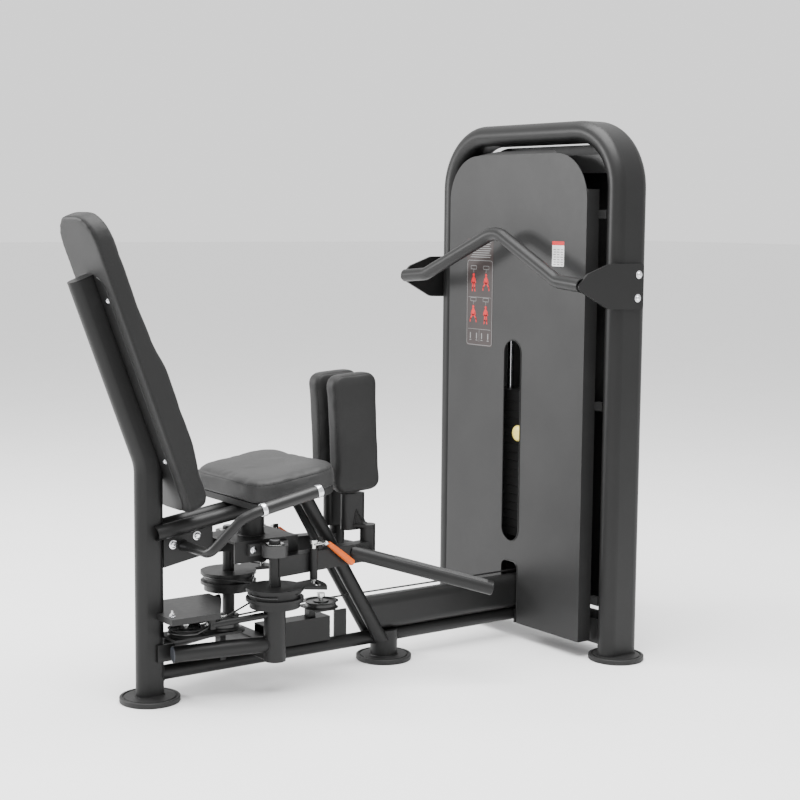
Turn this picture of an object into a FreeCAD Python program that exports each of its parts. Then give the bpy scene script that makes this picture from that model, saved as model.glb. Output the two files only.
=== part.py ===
"""Hip abductor machine as a parametric document, in millimetres, +Z up.

Origin: centre of the overall outline on the floor. +X points forward, the way the user faces, towards the
weight tower; +Y is the user's left. Every node is one named piece of the machine.
"""
import FreeCAD, Part
import math
import os

from FreeCAD import Placement, Rotation, Vector

doc = FreeCAD.newDocument("hip_abductor_machine")

# ---------------------------------------------------------------------------------------------------------
# Driving dimensions
# ---------------------------------------------------------------------------------------------------------
SIZES = {
    "foot_radius": 77.5, "foot_thick": 14.0, "foot_rim": 7.0, "foot_recess": 3.0,
    "rear_post_x": -568.0, "rear_post_long": 75.0, "rear_post_wide": 45.0, "rear_bend_z": 613.0,
    "rear_top_x": -741.0, "rear_top_z": 1074.1, "rear_bend_radius": 150.0, "wall": 3.0, "cap_thick": 4.0,
    "middle_x": 159.0, "middle_radius": 38.0, "middle_top": 86.0,
    "rail_radius": 19.0, "lower_rail_z": 68.0, "seat_rail_y": 30.0, "seat_rail_z": 440.0,
    "seat_rail_front": -95.0, "seat_slope": 8.3, "strut_y": 26.0,
    "beam_wide": 60.0, "beam_bottom": 87.0, "beam_top": 185.0, "beam_corner": 25.0, "beam_front": 660.0,
    "tower_x": 700.0, "tower_post_y": 367.0, "tower_long": 120.0, "tower_wide": 60.0, "tower_height": 1500.0,
    "tower_bend": 160.0, "base_beam_long": 80.0, "base_beam_bottom": 40.0, "base_beam_top": 110.0,
    "crosshead_bottom": 1355.0, "crosshead_top": 1405.0, "crosshead_deep": 60.0,
    "panel_x": 610.0, "panel_thick": 2.0, "panel_half": 306.0, "panel_bottom": 45.0, "panel_top": 1410.0,
    "panel_corner": 130.0, "slot_half": 38.0, "slot_low": 285.0, "slot_high": 877.0,
    "cover_depth": 43.0, "cover_top": 1310.0, "rear_panel_x": 756.0,
    "stack_x": 694.0, "stack_deep": 80.0, "stack_half": 160.0, "plate_thick": 24.0, "plate_pitch": 25.0,
    "stack_low": 290.0, "rod_y": 110.0, "rod_radius": 9.5, "head_thick": 34.0, "selector_radius": 11.0,
    "knob_radius": 24.0, "knob_deep": 19.0, "pin_radius": 5.0,
    "pivot_x": -270.0, "pivot_y": 120.0, "shaft_radius": 10.0, "shaft_low": 92.0, "shaft_high": 402.0,
    "cam_radius": 75.0, "cam_groove": 66.0, "cam_low": 248.0, "cam_high": 282.0, "cam_flange": 8.0,
    "index_radius": 135.0, "hub_radius": 15.5, "fit": 0.1,
    "arm_reach": 323.1, "arm_angle": 8.0, "arm_wide": 36.0, "arm_low": 308.0, "arm_high": 360.0,
    "bush_radius": 21.0, "bush_low": 303.0, "bush_high": 398.0, "swivel_radius": 12.0,
    "housing_radius": 28.5, "housing_low": 87.0, "housing_high_right": 225.0, "housing_high_left": 160.0,
    "column_radius": 35.0, "channel_top": 400.0, "channel_tall": 56.0, "channel_long": 190.0,
    "channel_half": 80.0, "channel_wall": 6.0, "bearing_low": 362.0, "bearing_high": 392.0,
    "bearing_radius": 34.0, "flange_half": 58.0,
    "side_tube_radius": 21.0, "cable_radius": 2.5, "pulley_radius": 44.0, "pulley_rim": 47.5,
    "pulley_wide": 18.0, "axle_radius": 6.0, "rear_pulley_z": 180.0, "cable_z": 197.0,
    "low_pulley_radius": 38.0, "top_pulley_radius": 26.0, "top_pulley_z": 1300.0, "low_cable_x": 746.0,
    "plate_top": 229.0, "plate_edge": 16.0, "plate_sheet": 3.0,
    "seat_half": 190.0, "seat_deep": 262.0, "seat_thick": 58.0, "seat_board": 18.0, "seat_x": -230.0,
    "seat_z": 581.0, "back_angle": 20.5, "back_half": 107.0, "shell_thick": 24.4, "back_low": -128.0,
    "back_high": 672.0, "pad_deep": 130.0, "pad_thick": 50.0, "pad_tall": 320.0, "pad_x": 22.0,
    "pad_y": 43.0, "pad_z": 652.0, "pad_corner": 28.0, "pad_lean": 3.0, "pad_post_long": 70.0,
    "pad_post_wide": 36.0, "pad_post_low": 390.0, "handle_radius": 12.5, "grip_radius": 15.5,
    "rest_radius": 19.0, "handlebar_radius": 19.0, "lug_thick": 8.0, "sleeve_radius": 10.5,
    "plunger_radius": 6.0, "plunger_reach": 112.4, "grip_lever_radius": 9.0, "lever_pin_radius": 3.0,
    "start_travel": 20.0,
}

sheet = doc.addObject("Spreadsheet::Sheet", "Sizes")
for row, (alias, number) in enumerate(SIZES.items(), start=1):
    sheet.set(f"A{row}", alias)
    sheet.set(f"B{row}", str(number))
    sheet.setAlias(f"B{row}", alias)
doc.recompute()


def val(alias):
    """Return one driving dimension from the sheet."""
    return float(sheet.get(alias))


NODES = []          # the pieces that are written out


def node(obj, label):
    """Name an object as a finished piece."""
    obj.Label = label
    NODES.append(obj)
    return obj


def unit(direction):
    vector = Vector(*direction)
    return vector.normalize()


def frame_at(point, direction=(0, 0, 1)):
    """Placement at a point whose local Z axis follows a direction."""
    return Placement(Vector(*point), Rotation(Vector(0, 0, 1), unit(direction)))


def bind(obj, **expressions):
    """Bind properties to sheet cells."""
    for prop, text in expressions.items():
        obj.setExpression(prop, text)
    return obj


def cylinder(name, radius, height, point=(0, 0, 0), direction=(0, 0, 1), angle=360):
    """Part cylinder; radius and height are expressions on the sheet."""
    obj = doc.addObject("Part::Cylinder", name)
    bind(obj, Radius=radius, Height=height)
    obj.Angle = angle
    obj.Placement = frame_at(point, direction)
    return obj


def rod(name, radius, start, end):
    """Straight round bar between two points."""
    span = Vector(*end) - Vector(*start)
    obj = cylinder(name, radius, f"{span.Length:.6f}", start, tuple(span))
    return obj


def box(name, corner, size, exprs=None):
    """Part box from its low corner and its size."""
    obj = doc.addObject("Part::Box", name)
    obj.Length, obj.Width, obj.Height = size
    if exprs:
        bind(obj, **exprs)
    obj.Placement = Placement(Vector(*corner), Rotation())
    return obj


def cut(name, base, *tools):
    """Base minus every tool."""
    obj = doc.addObject("Part::Cut", name)
    obj.Base = base
    obj.Tool = tools[0] if len(tools) == 1 else fuse(name + "_tool", *tools)
    return obj


def fuse(name, *parts):
    obj = doc.addObject("Part::MultiFuse", name)
    obj.Shapes = list(parts)
    return obj


def common(name, *parts):
    obj = doc.addObject("Part::MultiCommon", name)
    obj.Shapes = list(parts)
    return obj


def group(name, *parts):
    """Several separate solids in one piece group."""
    obj = doc.addObject("Part::Compound", name)
    obj.Links = list(parts)
    return obj


def rounded(points, radii):
    """Edges of a closed counter-clockwise outline whose corners are rounded."""
    count = len(points)
    starts, ends, arcs = [], [], []
    for i, (px, py) in enumerate(points):
        radius = radii[i] if isinstance(radii, (list, tuple)) else radii
        before, after = points[i - 1], points[(i + 1) % count]
        back = unit((before[0] - px, before[1] - py, 0))
        ahead = unit((after[0] - px, after[1] - py, 0))
        corner = Vector(px, py, 0)
        if radius <= 0:
            starts.append(corner), ends.append(corner), arcs.append(None)
            continue
        half = math.acos(max(-1.0, min(1.0, back.dot(ahead)))) / 2
        reach = radius / math.tan(half)
        first, last = corner + back * reach, corner + ahead * reach
        centre = corner + (back + ahead).normalize() * (radius / math.sin(half))
        middle = centre + (corner - centre).normalize() * radius
        starts.append(first), ends.append(last), arcs.append(Part.Arc(first, middle, last))
    edges = []
    for i in range(count):
        if arcs[i] is not None:
            edges.append(arcs[i])
        a, b = ends[i], starts[(i + 1) % count]
        if (a - b).Length > 1e-6:
            edges.append(Part.LineSegment(a, b))
    return edges


def rectangle(half_x, half_y, radius, cx=0.0, cy=0.0):
    points = [(cx - half_x, cy - half_y), (cx + half_x, cy - half_y),
              (cx + half_x, cy + half_y), (cx - half_x, cy + half_y)]
    return rounded(points, min(radius, half_x - 1e-4, half_y - 1e-4))


def disc(radius, cx=0.0, cy=0.0):
    return [Part.Circle(Vector(cx, cy, 0), Vector(0, 0, 1), radius)]


def pad(name, plane, loops, length, offset=0.0, placement=None, reverse=False):
    """Body with one sketch on an origin plane, padded by an expression on the sheet."""
    body = doc.addObject("PartDesign::Body", name)
    origin = [f for f in body.Origin.OriginFeatures if f.Role == plane][0]
    sketch = body.newObject("Sketcher::SketchObject", name + "_outline")
    sketch.AttachmentSupport = [(origin, "")]
    sketch.MapMode = "FlatFace"
    sketch.AttachmentOffset = Placement(Vector(0, 0, offset), Rotation())
    for loop in loops:
        for edge in loop:
            sketch.addGeometry(edge, False)
    feature = body.newObject("PartDesign::Pad", name + "_pad")
    feature.Profile = sketch
    bind(feature, Length=length)
    feature.Reversed = reverse
    if placement is not None:
        body.Placement = placement
    return body


def turned(name, outline, placement=None):
    """Body turned about its Z axis; the outline is (radius, height) points."""
    body = doc.addObject("PartDesign::Body", name)
    origin = [f for f in body.Origin.OriginFeatures if f.Role == "XZ_Plane"][0]
    sketch = body.newObject("Sketcher::SketchObject", name + "_outline")
    sketch.AttachmentSupport = [(origin, "")]
    sketch.MapMode = "FlatFace"
    for i, (radius, height) in enumerate(outline):
        after = outline[(i + 1) % len(outline)]
        sketch.addGeometry(Part.LineSegment(Vector(radius, height, 0), Vector(after[0], after[1], 0)), False)
    feature = body.newObject("PartDesign::Revolution", name + "_turn")
    feature.Profile = sketch
    feature.ReferenceAxis = (sketch, ["V_Axis"])
    feature.Angle = 360
    if placement is not None:
        body.Placement = placement
    return body


def bent_wire(points, radii):
    """Straight runs joined by tangent arcs through a list of corner points."""
    points = [Vector(*p) for p in points]
    edges, here = [], points[0]
    for i in range(1, len(points) - 1):
        back = (points[i - 1] - points[i]).normalize()
        ahead = (points[i + 1] - points[i]).normalize()
        half = math.acos(max(-1.0, min(1.0, back.dot(ahead)))) / 2
        radius = radii[i - 1]
        reach = radius / math.tan(half)
        first, last = points[i] + back * reach, points[i] + ahead * reach
        centre = points[i] + (back + ahead).normalize() * (radius / math.sin(half))
        middle = centre + (points[i] - centre).normalize() * radius
        edges.append(Part.LineSegment(here, first).toShape())
        edges.append(Part.Arc(first, middle, last).toShape())
        here = last
    edges.append(Part.LineSegment(here, points[-1]).toShape())
    return Part.Wire(edges)


def sweep(name, section_edges, wire, up=(0, 1, 0)):
    """Section swept along a bent wire; the section's X axis is kept square to 'up'."""
    path = doc.addObject("Part::Feature", name + "_path")
    path.Shape = wire
    start = wire.OrderedEdges[0]
    tangent = start.tangentAt(start.FirstParameter)
    local_y = Vector(*up)
    local_x = local_y.cross(tangent).normalize()
    local_y = tangent.cross(local_x).normalize()
    section = doc.addObject("Part::Feature", name + "_section")
    section.Shape = Part.Wire([e.toShape() for e in section_edges])
    section.Placement = Placement(wire.OrderedVertexes[0].Point, Rotation(local_x, local_y, tangent, "ZXY"))
    run = doc.addObject("Part::Sweep", name + "_run")
    run.Sections = [section]
    run.Spine = (path, [f"Edge{i + 1}" for i in range(len(wire.Edges))])
    run.Solid = True
    run.Frenet = False
    return run


def oval(long, wide, shrink=0.0):
    """Flat-oval tube section, long side along X."""
    half_x, half_y = long / 2 - shrink, wide / 2 - shrink
    straight = half_x - half_y
    return [Part.LineSegment(Vector(-straight, -half_y, 0), Vector(straight, -half_y, 0)),
            Part.Arc(Vector(straight, -half_y, 0), Vector(half_x, 0, 0), Vector(straight, half_y, 0)),
            Part.LineSegment(Vector(straight, half_y, 0), Vector(-straight, half_y, 0)),
            Part.Arc(Vector(-straight, half_y, 0), Vector(-half_x, 0, 0), Vector(-straight, -half_y, 0))]


def bent_tube(name, wire, section, inner, up=(0, 1, 0)):
    """Hollow bent tube: outer sweep minus inner sweep."""
    return cut(name, sweep(name + "_outer", section, wire, up), sweep(name + "_inner", inner, wire, up))


def solids(name, shapes):
    """A piece group whose solids are worked out from the sheet."""
    obj = doc.addObject("Part::Feature", name)
    obj.Shape = Part.makeCompound(shapes)
    return obj


# ---------------------------------------------------------------------------------------------------------
# Rear post, feet and floor rail
# ---------------------------------------------------------------------------------------------------------
wall, foot_top = val("wall"), val("foot_thick")
post_x, post_long, post_wide = val("rear_post_x"), val("rear_post_long"), val("rear_post_wide")
post_wire = bent_wire([(post_x, 0, foot_top), (post_x, 0, val("rear_bend_z")),
                       (val("rear_top_x"), 0, val("rear_top_z"))], [val("rear_bend_radius")])
node(bent_tube("rear_post", post_wire, oval(post_long, post_wide), oval(post_long, post_wide, wall)),
     "rear_post")
post_envelope = sweep("post_envelope", oval(post_long, post_wide), post_wire)

lean = unit((val("rear_top_x") - post_x, 0, val("rear_top_z") - val("rear_bend_z")))
cap = pad("rear_post_cap", "XY_Plane", [oval(post_long, post_wide)], "Sizes.cap_thick")
cap.Placement = Placement(Vector(val("rear_top_x"), 0, val("rear_top_z")) + lean * 0.05,
                          Rotation(Vector(0, 0, 1), lean))
node(cap, "rear_post_cap")

foot_r, rim, recess = val("foot_radius"), val("foot_rim"), val("foot_recess")
foot_spots = [(post_x, 0), (val("middle_x"), 0), (val("tower_x"), -val("tower_post_y")),
              (val("tower_x"), val("tower_post_y"))]
feet = [turned(f"foot_{i}", [(0, 0), (foot_r - 2, 0), (foot_r, 2), (foot_r, foot_top - 1.5),
                             (foot_r - 1.5, foot_top), (foot_r - rim, foot_top),
                             (foot_r - rim - 1, foot_top - recess), (66.0, foot_top - recess),
                             (65.0, foot_top), (0, foot_top)],
               Placement(Vector(x, y, 0), Rotation())) for i, (x, y) in enumerate(foot_spots)]
node(group("foot_discs", *feet), "foot_discs")

rail_z, rail_r = val("lower_rail_z"), "Sizes.rail_radius"
nose = post_x + post_long / 2 - post_wide / 2
rail = rod("lower_rail_bar", rail_r, (nose, 0, rail_z), (val("tower_x") - val("base_beam_long") / 2, 0, rail_z))
node(cut("lower_rail", rail, post_envelope), "lower_rail")
middle = cylinder("middle_bar", "Sizes.middle_radius", "Sizes.middle_top - Sizes.foot_thick",
                  (val("middle_x"), 0, foot_top))
node(cut("middle_post", middle, rod("middle_saddle", rail_r, (0, 0, rail_z), (300, 0, rail_z))), "middle_post")

# Main beam: its rear end is cut on the slant along the struts.
slope_x, slope_z = 0.5095, -0.8605                    # direction of the struts, downwards and forwards
strut_top, strut_low = Vector(-118.0, 0, 484.2), Vector(124.7, 0, 74.3)
beam_half, beam_mid = val("beam_wide") / 2, (val("beam_top") + val("beam_bottom")) / 2
beam_tall = (val("beam_top") - val("beam_bottom")) / 2
corner = val("beam_corner")
beam = pad("beam_bar", "YZ_Plane", [rectangle(beam_half, beam_tall, corner, 0, beam_mid),
                                    rectangle(beam_half - wall, beam_tall - wall, corner - wall, 0, beam_mid)],
           "Sizes.beam_front - 60", 60)
slant = box("beam_slant", (0, -60, -60), (400, 120, 400))
slant.Placement = Placement(Vector(141.2, -60, 84.0) + Vector(slope_z, 0, -slope_x) * 400,
                            Rotation(Vector(0, 1, 0), 59.37 - 90))
node(cut("main_beam", beam, slant), "main_beam")

# ---------------------------------------------------------------------------------------------------------
# Seat carrier: rails, struts, gussets, crosshead with the two pivots
# ---------------------------------------------------------------------------------------------------------
rise = math.tan(math.radians(val("seat_slope")))
rail_y, rail_front = val("seat_rail_y"), val("seat_rail_front")


def rail_height(x):
    """Height of a seat rail's centre line."""
    return val("seat_rail_z") + rise * (x + 530.0)


rail_bars = [rod(f"seat_rail_bar_{i}", rail_r, (nose - 10, y, rail_height(nose - 10)),
                 (rail_front, y, rail_height(rail_front))) for i, y in enumerate((-rail_y, rail_y))]
rail_bores = [rod(f"seat_rail_bore_{i}", "Sizes.rail_radius - Sizes.wall",
                  (nose - 30, y, rail_height(nose - 30)), (rail_front + 20, y, rail_height(rail_front + 20)))
              for i, y in enumerate((-rail_y, rail_y))]
node(group("seat_rails", *[cut(f"seat_rail_{i}", bar, post_envelope, bore)
                           for i, (bar, bore) in enumerate(zip(rail_bars, rail_bores))]), "seat_rails")

strut_y = val("strut_y")
floor_cut = box("strut_floor", (0, -80, 0), (300, 160, 62))
struts = []
for i, y in enumerate((-strut_y, strut_y)):
    bar = rod(f"strut_bar_{i}", rail_r, (strut_top.x, y, strut_top.z), (strut_low.x + 12, y, strut_low.z - 20))
    struts.append(cut(f"strut_{i}", bar, rail_bars[0], rail_bars[1], rail, middle, floor_cut))
node(group("struts", *struts), "struts")

gusset_outline = rounded([(-538, 345), (-422, 366), (-398, 376), (-398, rail_height(-398) - 21),
                          (-538, rail_height(-538) - 21)], [0, 8, 8, 0, 0])
gussets = [pad(f"gusset_{i}", "XZ_Plane", [gusset_outline], "6", offset)
           for i, offset in enumerate((18.5, -24.5))]
node(group("gusset_plates", *[cut(f"gusset_plate_{i}", g, post_envelope) for i, g in enumerate(gussets)]),
     "gusset_plates")

pivot_x, pivot_y = val("pivot_x"), val("pivot_y")
chan_top, chan_tall, chan_half = val("channel_top"), val("channel_tall"), val("channel_half")
chan_wall, chan_long = val("channel_wall"), val("channel_long")
channel = pad("channel_bar", "YZ_Plane", [rounded(
    [(-chan_half, chan_top - chan_tall), (-chan_half + chan_wall, chan_top - chan_tall),
     (-chan_half + chan_wall, chan_top - chan_wall), (chan_half - chan_wall, chan_top - chan_wall),
     (chan_half - chan_wall, chan_top - chan_tall), (chan_half, chan_top - chan_tall),
     (chan_half, chan_top), (-chan_half, chan_top)], 0)],
    "Sizes.channel_long", pivot_x - chan_long / 2)
column = cylinder("column_bar", "Sizes.column_radius", "120", (pivot_x, 0, chan_top))
column_end = box("column_end", (pivot_x - 60, -60, 560 - 60), (120, 120, 80))
column_end.Placement = Placement(Vector(pivot_x - 60, -60, rail_height(pivot_x - 60)),
                                 Rotation(Vector(0, 1, 0), -val("seat_slope")))
node(fuse("crosshead", channel, cut("column", column, column_end, rail_bars[0], rail_bars[1])), "crosshead")

fit = val("fit")
shaft_bore = f"Sizes.shaft_radius + Sizes.fit"
bearings, housings = [], []
for i, side in enumerate((-1, 1)):
    y = side * pivot_y
    tall = "Sizes.bearing_high - Sizes.bearing_low"
    ring = cylinder(f"bearing_ring_{i}", "Sizes.bearing_radius", tall, (pivot_x, y, val("bearing_low")))
    low_y = min(side * chan_half, side * (chan_half + 12))
    flange = box(f"bearing_flange_{i}", (pivot_x - val("flange_half"), low_y, val("bearing_low")),
                 (2 * val("flange_half"), 12, 30), {"Height": tall})
    bore = cylinder(f"bearing_bore_{i}", shaft_bore, "60", (pivot_x, y, val("bearing_low") - 15))
    bearings.append(cut(f"bearing_{i}", fuse(f"bearing_body_{i}", ring, flange), bore))
    high = "housing_high_right" if side < 0 else "housing_high_left"
    tube = cylinder(f"housing_tube_{i}", "Sizes.housing_radius", f"Sizes.{high} - Sizes.housing_low",
                    (pivot_x, y, val("housing_low")))
    hole = cylinder(f"housing_bore_{i}", shaft_bore, "200", (pivot_x, y, val("shaft_low") - 2))
    housings.append(cut(f"housing_{i}", tube, hole))
node(group("upper_bearings", *bearings), "upper_bearings")
node(group("lower_housings", *housings), "lower_housings")

housing_plugs = [cylinder(f"housing_plug_{i}", "Sizes.housing_radius", "300", (pivot_x, side * pivot_y, 40))
                 for i, side in enumerate((-1, 1))]
side_tubes, side_bars = [], []
for i, side in enumerate((-1, 1)):
    start, end = (-528.0, side * 52.0, 126.0), (pivot_x - 6, side * (pivot_y - 3), 132.0)
    bar = rod(f"side_bar_{i}", "Sizes.side_tube_radius", start, end)
    inner = rod(f"side_bore_{i}", "Sizes.side_tube_radius - Sizes.wall",
                tuple(Vector(*start) + unit(Vector(*end) - Vector(*start)) * 5), end)
    side_tubes.append(cut(f"side_tube_{i}", bar, inner, housing_plugs[i]))
    lug = box(f"side_lug_{i}", (-560.0, min(side * 22.7, side * 30.4), 104.0), (48.0, 7.7, 44.0))
    side_tubes.append(cut(f"side_lug_plate_{i}", lug, post_envelope, bar))
    upper = rod(f"upper_bar_{i}", "8.5", (-440.0, side * 94.0, 199.0), (pivot_x - 6, side * (pivot_y + 4), 212.0))
    hanger = box(f"upper_hanger_{i}", (-447.0, side * 95.0 - 6, 188.0), (14.0, 12.0, 25.0))
    side_tubes.append(cut(f"upper_tube_{i}", fuse(f"upper_body_{i}", upper, hanger), housing_plugs[i]))
    side_bars.append(bar)
node(group("side_tubes", *side_tubes), "side_tubes")

cross = pad("cross_bar", "XZ_Plane", [rectangle(25, 23.4, 5, pivot_x, 110.8),
                                      rectangle(22, 20.4, 3, pivot_x, 110.8)], "216", -108)
spine = cut("spine", box("spine_out", (pivot_x + 25, -25, 87.4), (208.0, 50.0, 66.0)),
            box("spine_in", (pivot_x + 24, -22, 90.4), (206.0, 44.0, 60.0)))
node(fuse("cross_tube", cut("cross_body", cross, *housing_plugs, *side_bars), spine), "cross_tube")

# ---------------------------------------------------------------------------------------------------------
# Cable run: cover plate, brackets, pulleys, cables
# ---------------------------------------------------------------------------------------------------------
plate_points = [(-557, -103), (-420, -103), (-340, 34), (-338, 105), (-557, 105)]
plate_low = val("plate_top") - val("plate_edge")
sheet_t = val("plate_sheet")
tray = pad("cover_block", "XY_Plane", [rounded(plate_points, 3)], "Sizes.plate_edge", plate_low)
inner_points = [(-557 + sheet_t, -103 + sheet_t), (-420 - 1.7, -103 + sheet_t), (-340 - 3.2, 34 + 0.8),
                (-338 - sheet_t - 0.1, 105 - sheet_t), (-557 + sheet_t, 105 - sheet_t)]
hollow = pad("cover_hollow", "XY_Plane", [rounded(inner_points, 1)], "Sizes.plate_edge - Sizes.plate_sheet",
             plate_low)
notch = box("cover_notch", (-620, -post_wide / 2, 150), (620 - 553, post_wide, 120))
notch_round = cylinder("cover_notch_round", "Sizes.rear_post_wide / 2", "120", (nose, 0, 150))
node(cut("pulley_cover_plate", tray, hollow, notch, notch_round), "pulley_cover_plate")

rear_z, pulley_r, pulley_rim = val("rear_pulley_z"), val("pulley_radius"), val("pulley_rim")
pulley_y = -pulley_r
cable_rise = (val("cable_z") - rear_z) / 407.0             # the return run climbs a little to the front pulley
spots = {"rear_pulley_a": (-487.0, pulley_y, rear_z),
         "rear_pulley_b": (-380.0, pulley_y, rear_z + 107.0 * cable_rise),
         "front_pulley": (-80.0, pulley_y, val("cable_z"))}


def pulley(label, groove, rim, wide, placement):
    """Grooved pulley turned about its own axis, with a bore for its axle."""
    bore = val("axle_radius") + fit
    half = wide / 2
    lip = half - 0.4
    outline = [(bore, -half), (rim * 0.42, -half), (rim * 0.46, -half + 3), (rim - 9, -half + 3),
               (rim - 7, -half), (rim, -half), (rim, -lip), (groove - 3.0, -3.8), (groove - 3.0, 3.8),
               (rim, lip), (rim, half), (rim - 7, half), (rim - 9, half - 3), (rim * 0.46, half - 3),
               (rim * 0.42, half), (bore, half)]
    return node(turned(label, outline, placement), label)


for label, spot in spots.items():
    pulley(label, pulley_r, pulley_rim, val("pulley_wide"), frame_at(spot))

low_r, top_r = val("low_pulley_radius"), val("top_pulley_radius")
low_centre = (val("low_cable_x") - low_r, 0.0, val("cable_z") + low_r)
top_centre = (val("low_cable_x") - top_r, 0.0, val("top_pulley_z"))
pulley("tower_low_pulley", low_r, low_r + 5, 16.0, frame_at(low_centre, (0, 1, 0)))
pulley("tower_top_pulley", top_r, top_r + 5, 16.0, frame_at(top_centre, (0, 1, 0)))

half_pulley = val("pulley_wide") / 2
axle = "Sizes.axle_radius"
bracket_z = rear_z - half_pulley - 1
axles = [cylinder("axle_a", axle, "24", (spots["rear_pulley_a"][0], pulley_y, bracket_z)),
         cylinder("axle_b", axle, "29", (spots["rear_pulley_b"][0], pulley_y, bracket_z)),
         cylinder("axle_c", axle, "30", (spots["front_pulley"][0], pulley_y, val("cable_z") - half_pulley - 1)),
         cylinder("axle_d", axle, "27.6", (low_centre[0], -13.8, low_centre[2]), (0, 1, 0)),
         cylinder("axle_e", axle, "27.6", (top_centre[0], -13.8, top_centre[2]), (0, 1, 0))]
nuts = [cylinder("nut_a", "11", "9", (-487.0, pulley_y, bracket_z + 24)),
        cylinder("nut_b", "11", "9", (-380.0, pulley_y, bracket_z + 29)),
        cylinder("nut_c", "11", "9", (-80.0, pulley_y, val("cable_z") - half_pulley + 29))]
node(group("pulley_axles", *axles, *nuts), "pulley_axles")

base_plate = pad("base_plate", "XY_Plane", [rounded([(-540, -86), (-345, -86), (-330, -70), (-330, 12),
                                                     (-540, 12)], [0, 8, 8, 8, 0])], "6", bracket_z - 6)
base_leg = box("base_leg", (-372, -16, 68), (16, 28, bracket_z - 6 - 68))
front_plate = box("front_plate", (-112, -72, val("cable_z") - half_pulley - 7), (62, 86, 6))
front_leg = box("front_leg", (-96, -12, 153.4), (20, 24, val("cable_z") - half_pulley - 7 - 153.4))
rail_tab = box("rail_tab", (-8, -3, 68), (39, 6, 92))
brackets = [cut("rear_bracket", fuse("rear_bracket_body", base_plate, base_leg), post_envelope, rail),
            fuse("front_bracket", front_plate, front_leg), cut("rail_tab_plate", rail_tab, rail)]
node(group("pulley_brackets", *brackets), "pulley_brackets")


def straight(a, b):
    a, b = Vector(*a), Vector(*b)
    return Part.makeCylinder(val("cable_radius"), (b - a).Length, a, b - a)


def around(centre, radius, start, sweep_angle, normal=(0, 0, 1), zero=(1, 0, 0)):
    """Cable lying round a groove: an arc of a circle about a centre, angles in degrees from 'zero'."""
    zero, normal = unit(zero), unit(normal)
    side = normal.cross(zero)
    centre = Vector(*centre)

    def at(angle):
        turn = math.radians(angle)
        return centre + zero * (radius * math.cos(turn)) + side * (radius * math.sin(turn))
    arc = Part.Arc(at(start), at(start + sweep_angle / 2), at(start + sweep_angle)).toShape()
    tangent = arc.tangentAt(arc.FirstParameter)
    ring = Part.Wire(Part.Circle(at(start), tangent, val("cable_radius")).toShape())
    return Part.Wire([arc]).makePipeShell([ring], True, False), at(start), at(start + sweep_angle)


cam_cable = val("cam_groove") + val("cable_radius")
a_spot, b_spot, f_spot = (spots[k] for k in ("rear_pulley_a", "rear_pulley_b", "front_pulley"))
right_pivot = (pivot_x, -pivot_y)
gap = math.hypot(right_pivot[0] - a_spot[0], right_pivot[1] - a_spot[1])
bearing_angle = math.degrees(math.atan2(a_spot[1] - right_pivot[1], a_spot[0] - right_pivot[0]))
inner_turn = math.degrees(math.acos((cam_cable + pulley_r) / gap))
leave = bearing_angle - inner_turn                     # where the cable leaves the right cam, inner side
main_z = 239.0
on_cam, _, cam_exit = around((*right_pivot, main_z), cam_cable, leave - 95, 95)
a_arrive = (leave + 180.0) % 360
a_wrap = 90.0 - a_arrive - (360.0 if a_arrive < 90 else 0.0)
on_a, a_entry, a_exit = around(a_spot, pulley_r, a_arrive, a_wrap)
low_arc, low_in, low_out = around(low_centre, low_r, 0, 90, (0, -1, 0), (0, 0, -1))
top_arc, top_in, top_out = around(top_centre, top_r, 0, 180, (0, -1, 0), (1, 0, 0))
f_touch = (f_spot[0], 0.0, f_spot[2])
cable_shapes = [on_cam, straight(cam_exit, a_entry), on_a, straight(a_exit, f_touch),
                straight(f_touch, low_in), low_arc, straight(low_out, top_in), top_arc]
node(solids("main_cable", cable_shapes), "main_cable")

link_turn = math.degrees(math.acos(2 * cam_cable / (2 * pivot_y)))
links = []
for z, mirror in ((270.0, 1), (265.0, -1)):
    exit_right = 90.0 - mirror * link_turn
    exit_left = 270.0 - mirror * link_turn
    first, _, r_out = around((pivot_x, -pivot_y, z), cam_cable, exit_right - mirror * 100, mirror * 100)
    second, _, l_out = around((pivot_x, pivot_y, z), cam_cable, exit_left - mirror * 100, mirror * 100)
    links += [first, second, straight(r_out, l_out)]
node(solids("link_cables", links), "link_cables")

# ---------------------------------------------------------------------------------------------------------
# Leg units
# ---------------------------------------------------------------------------------------------------------
arm_angle, reach = val("arm_angle"), val("arm_reach")


start_travel = val("start_travel")                            # degrees between the two end positions


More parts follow.
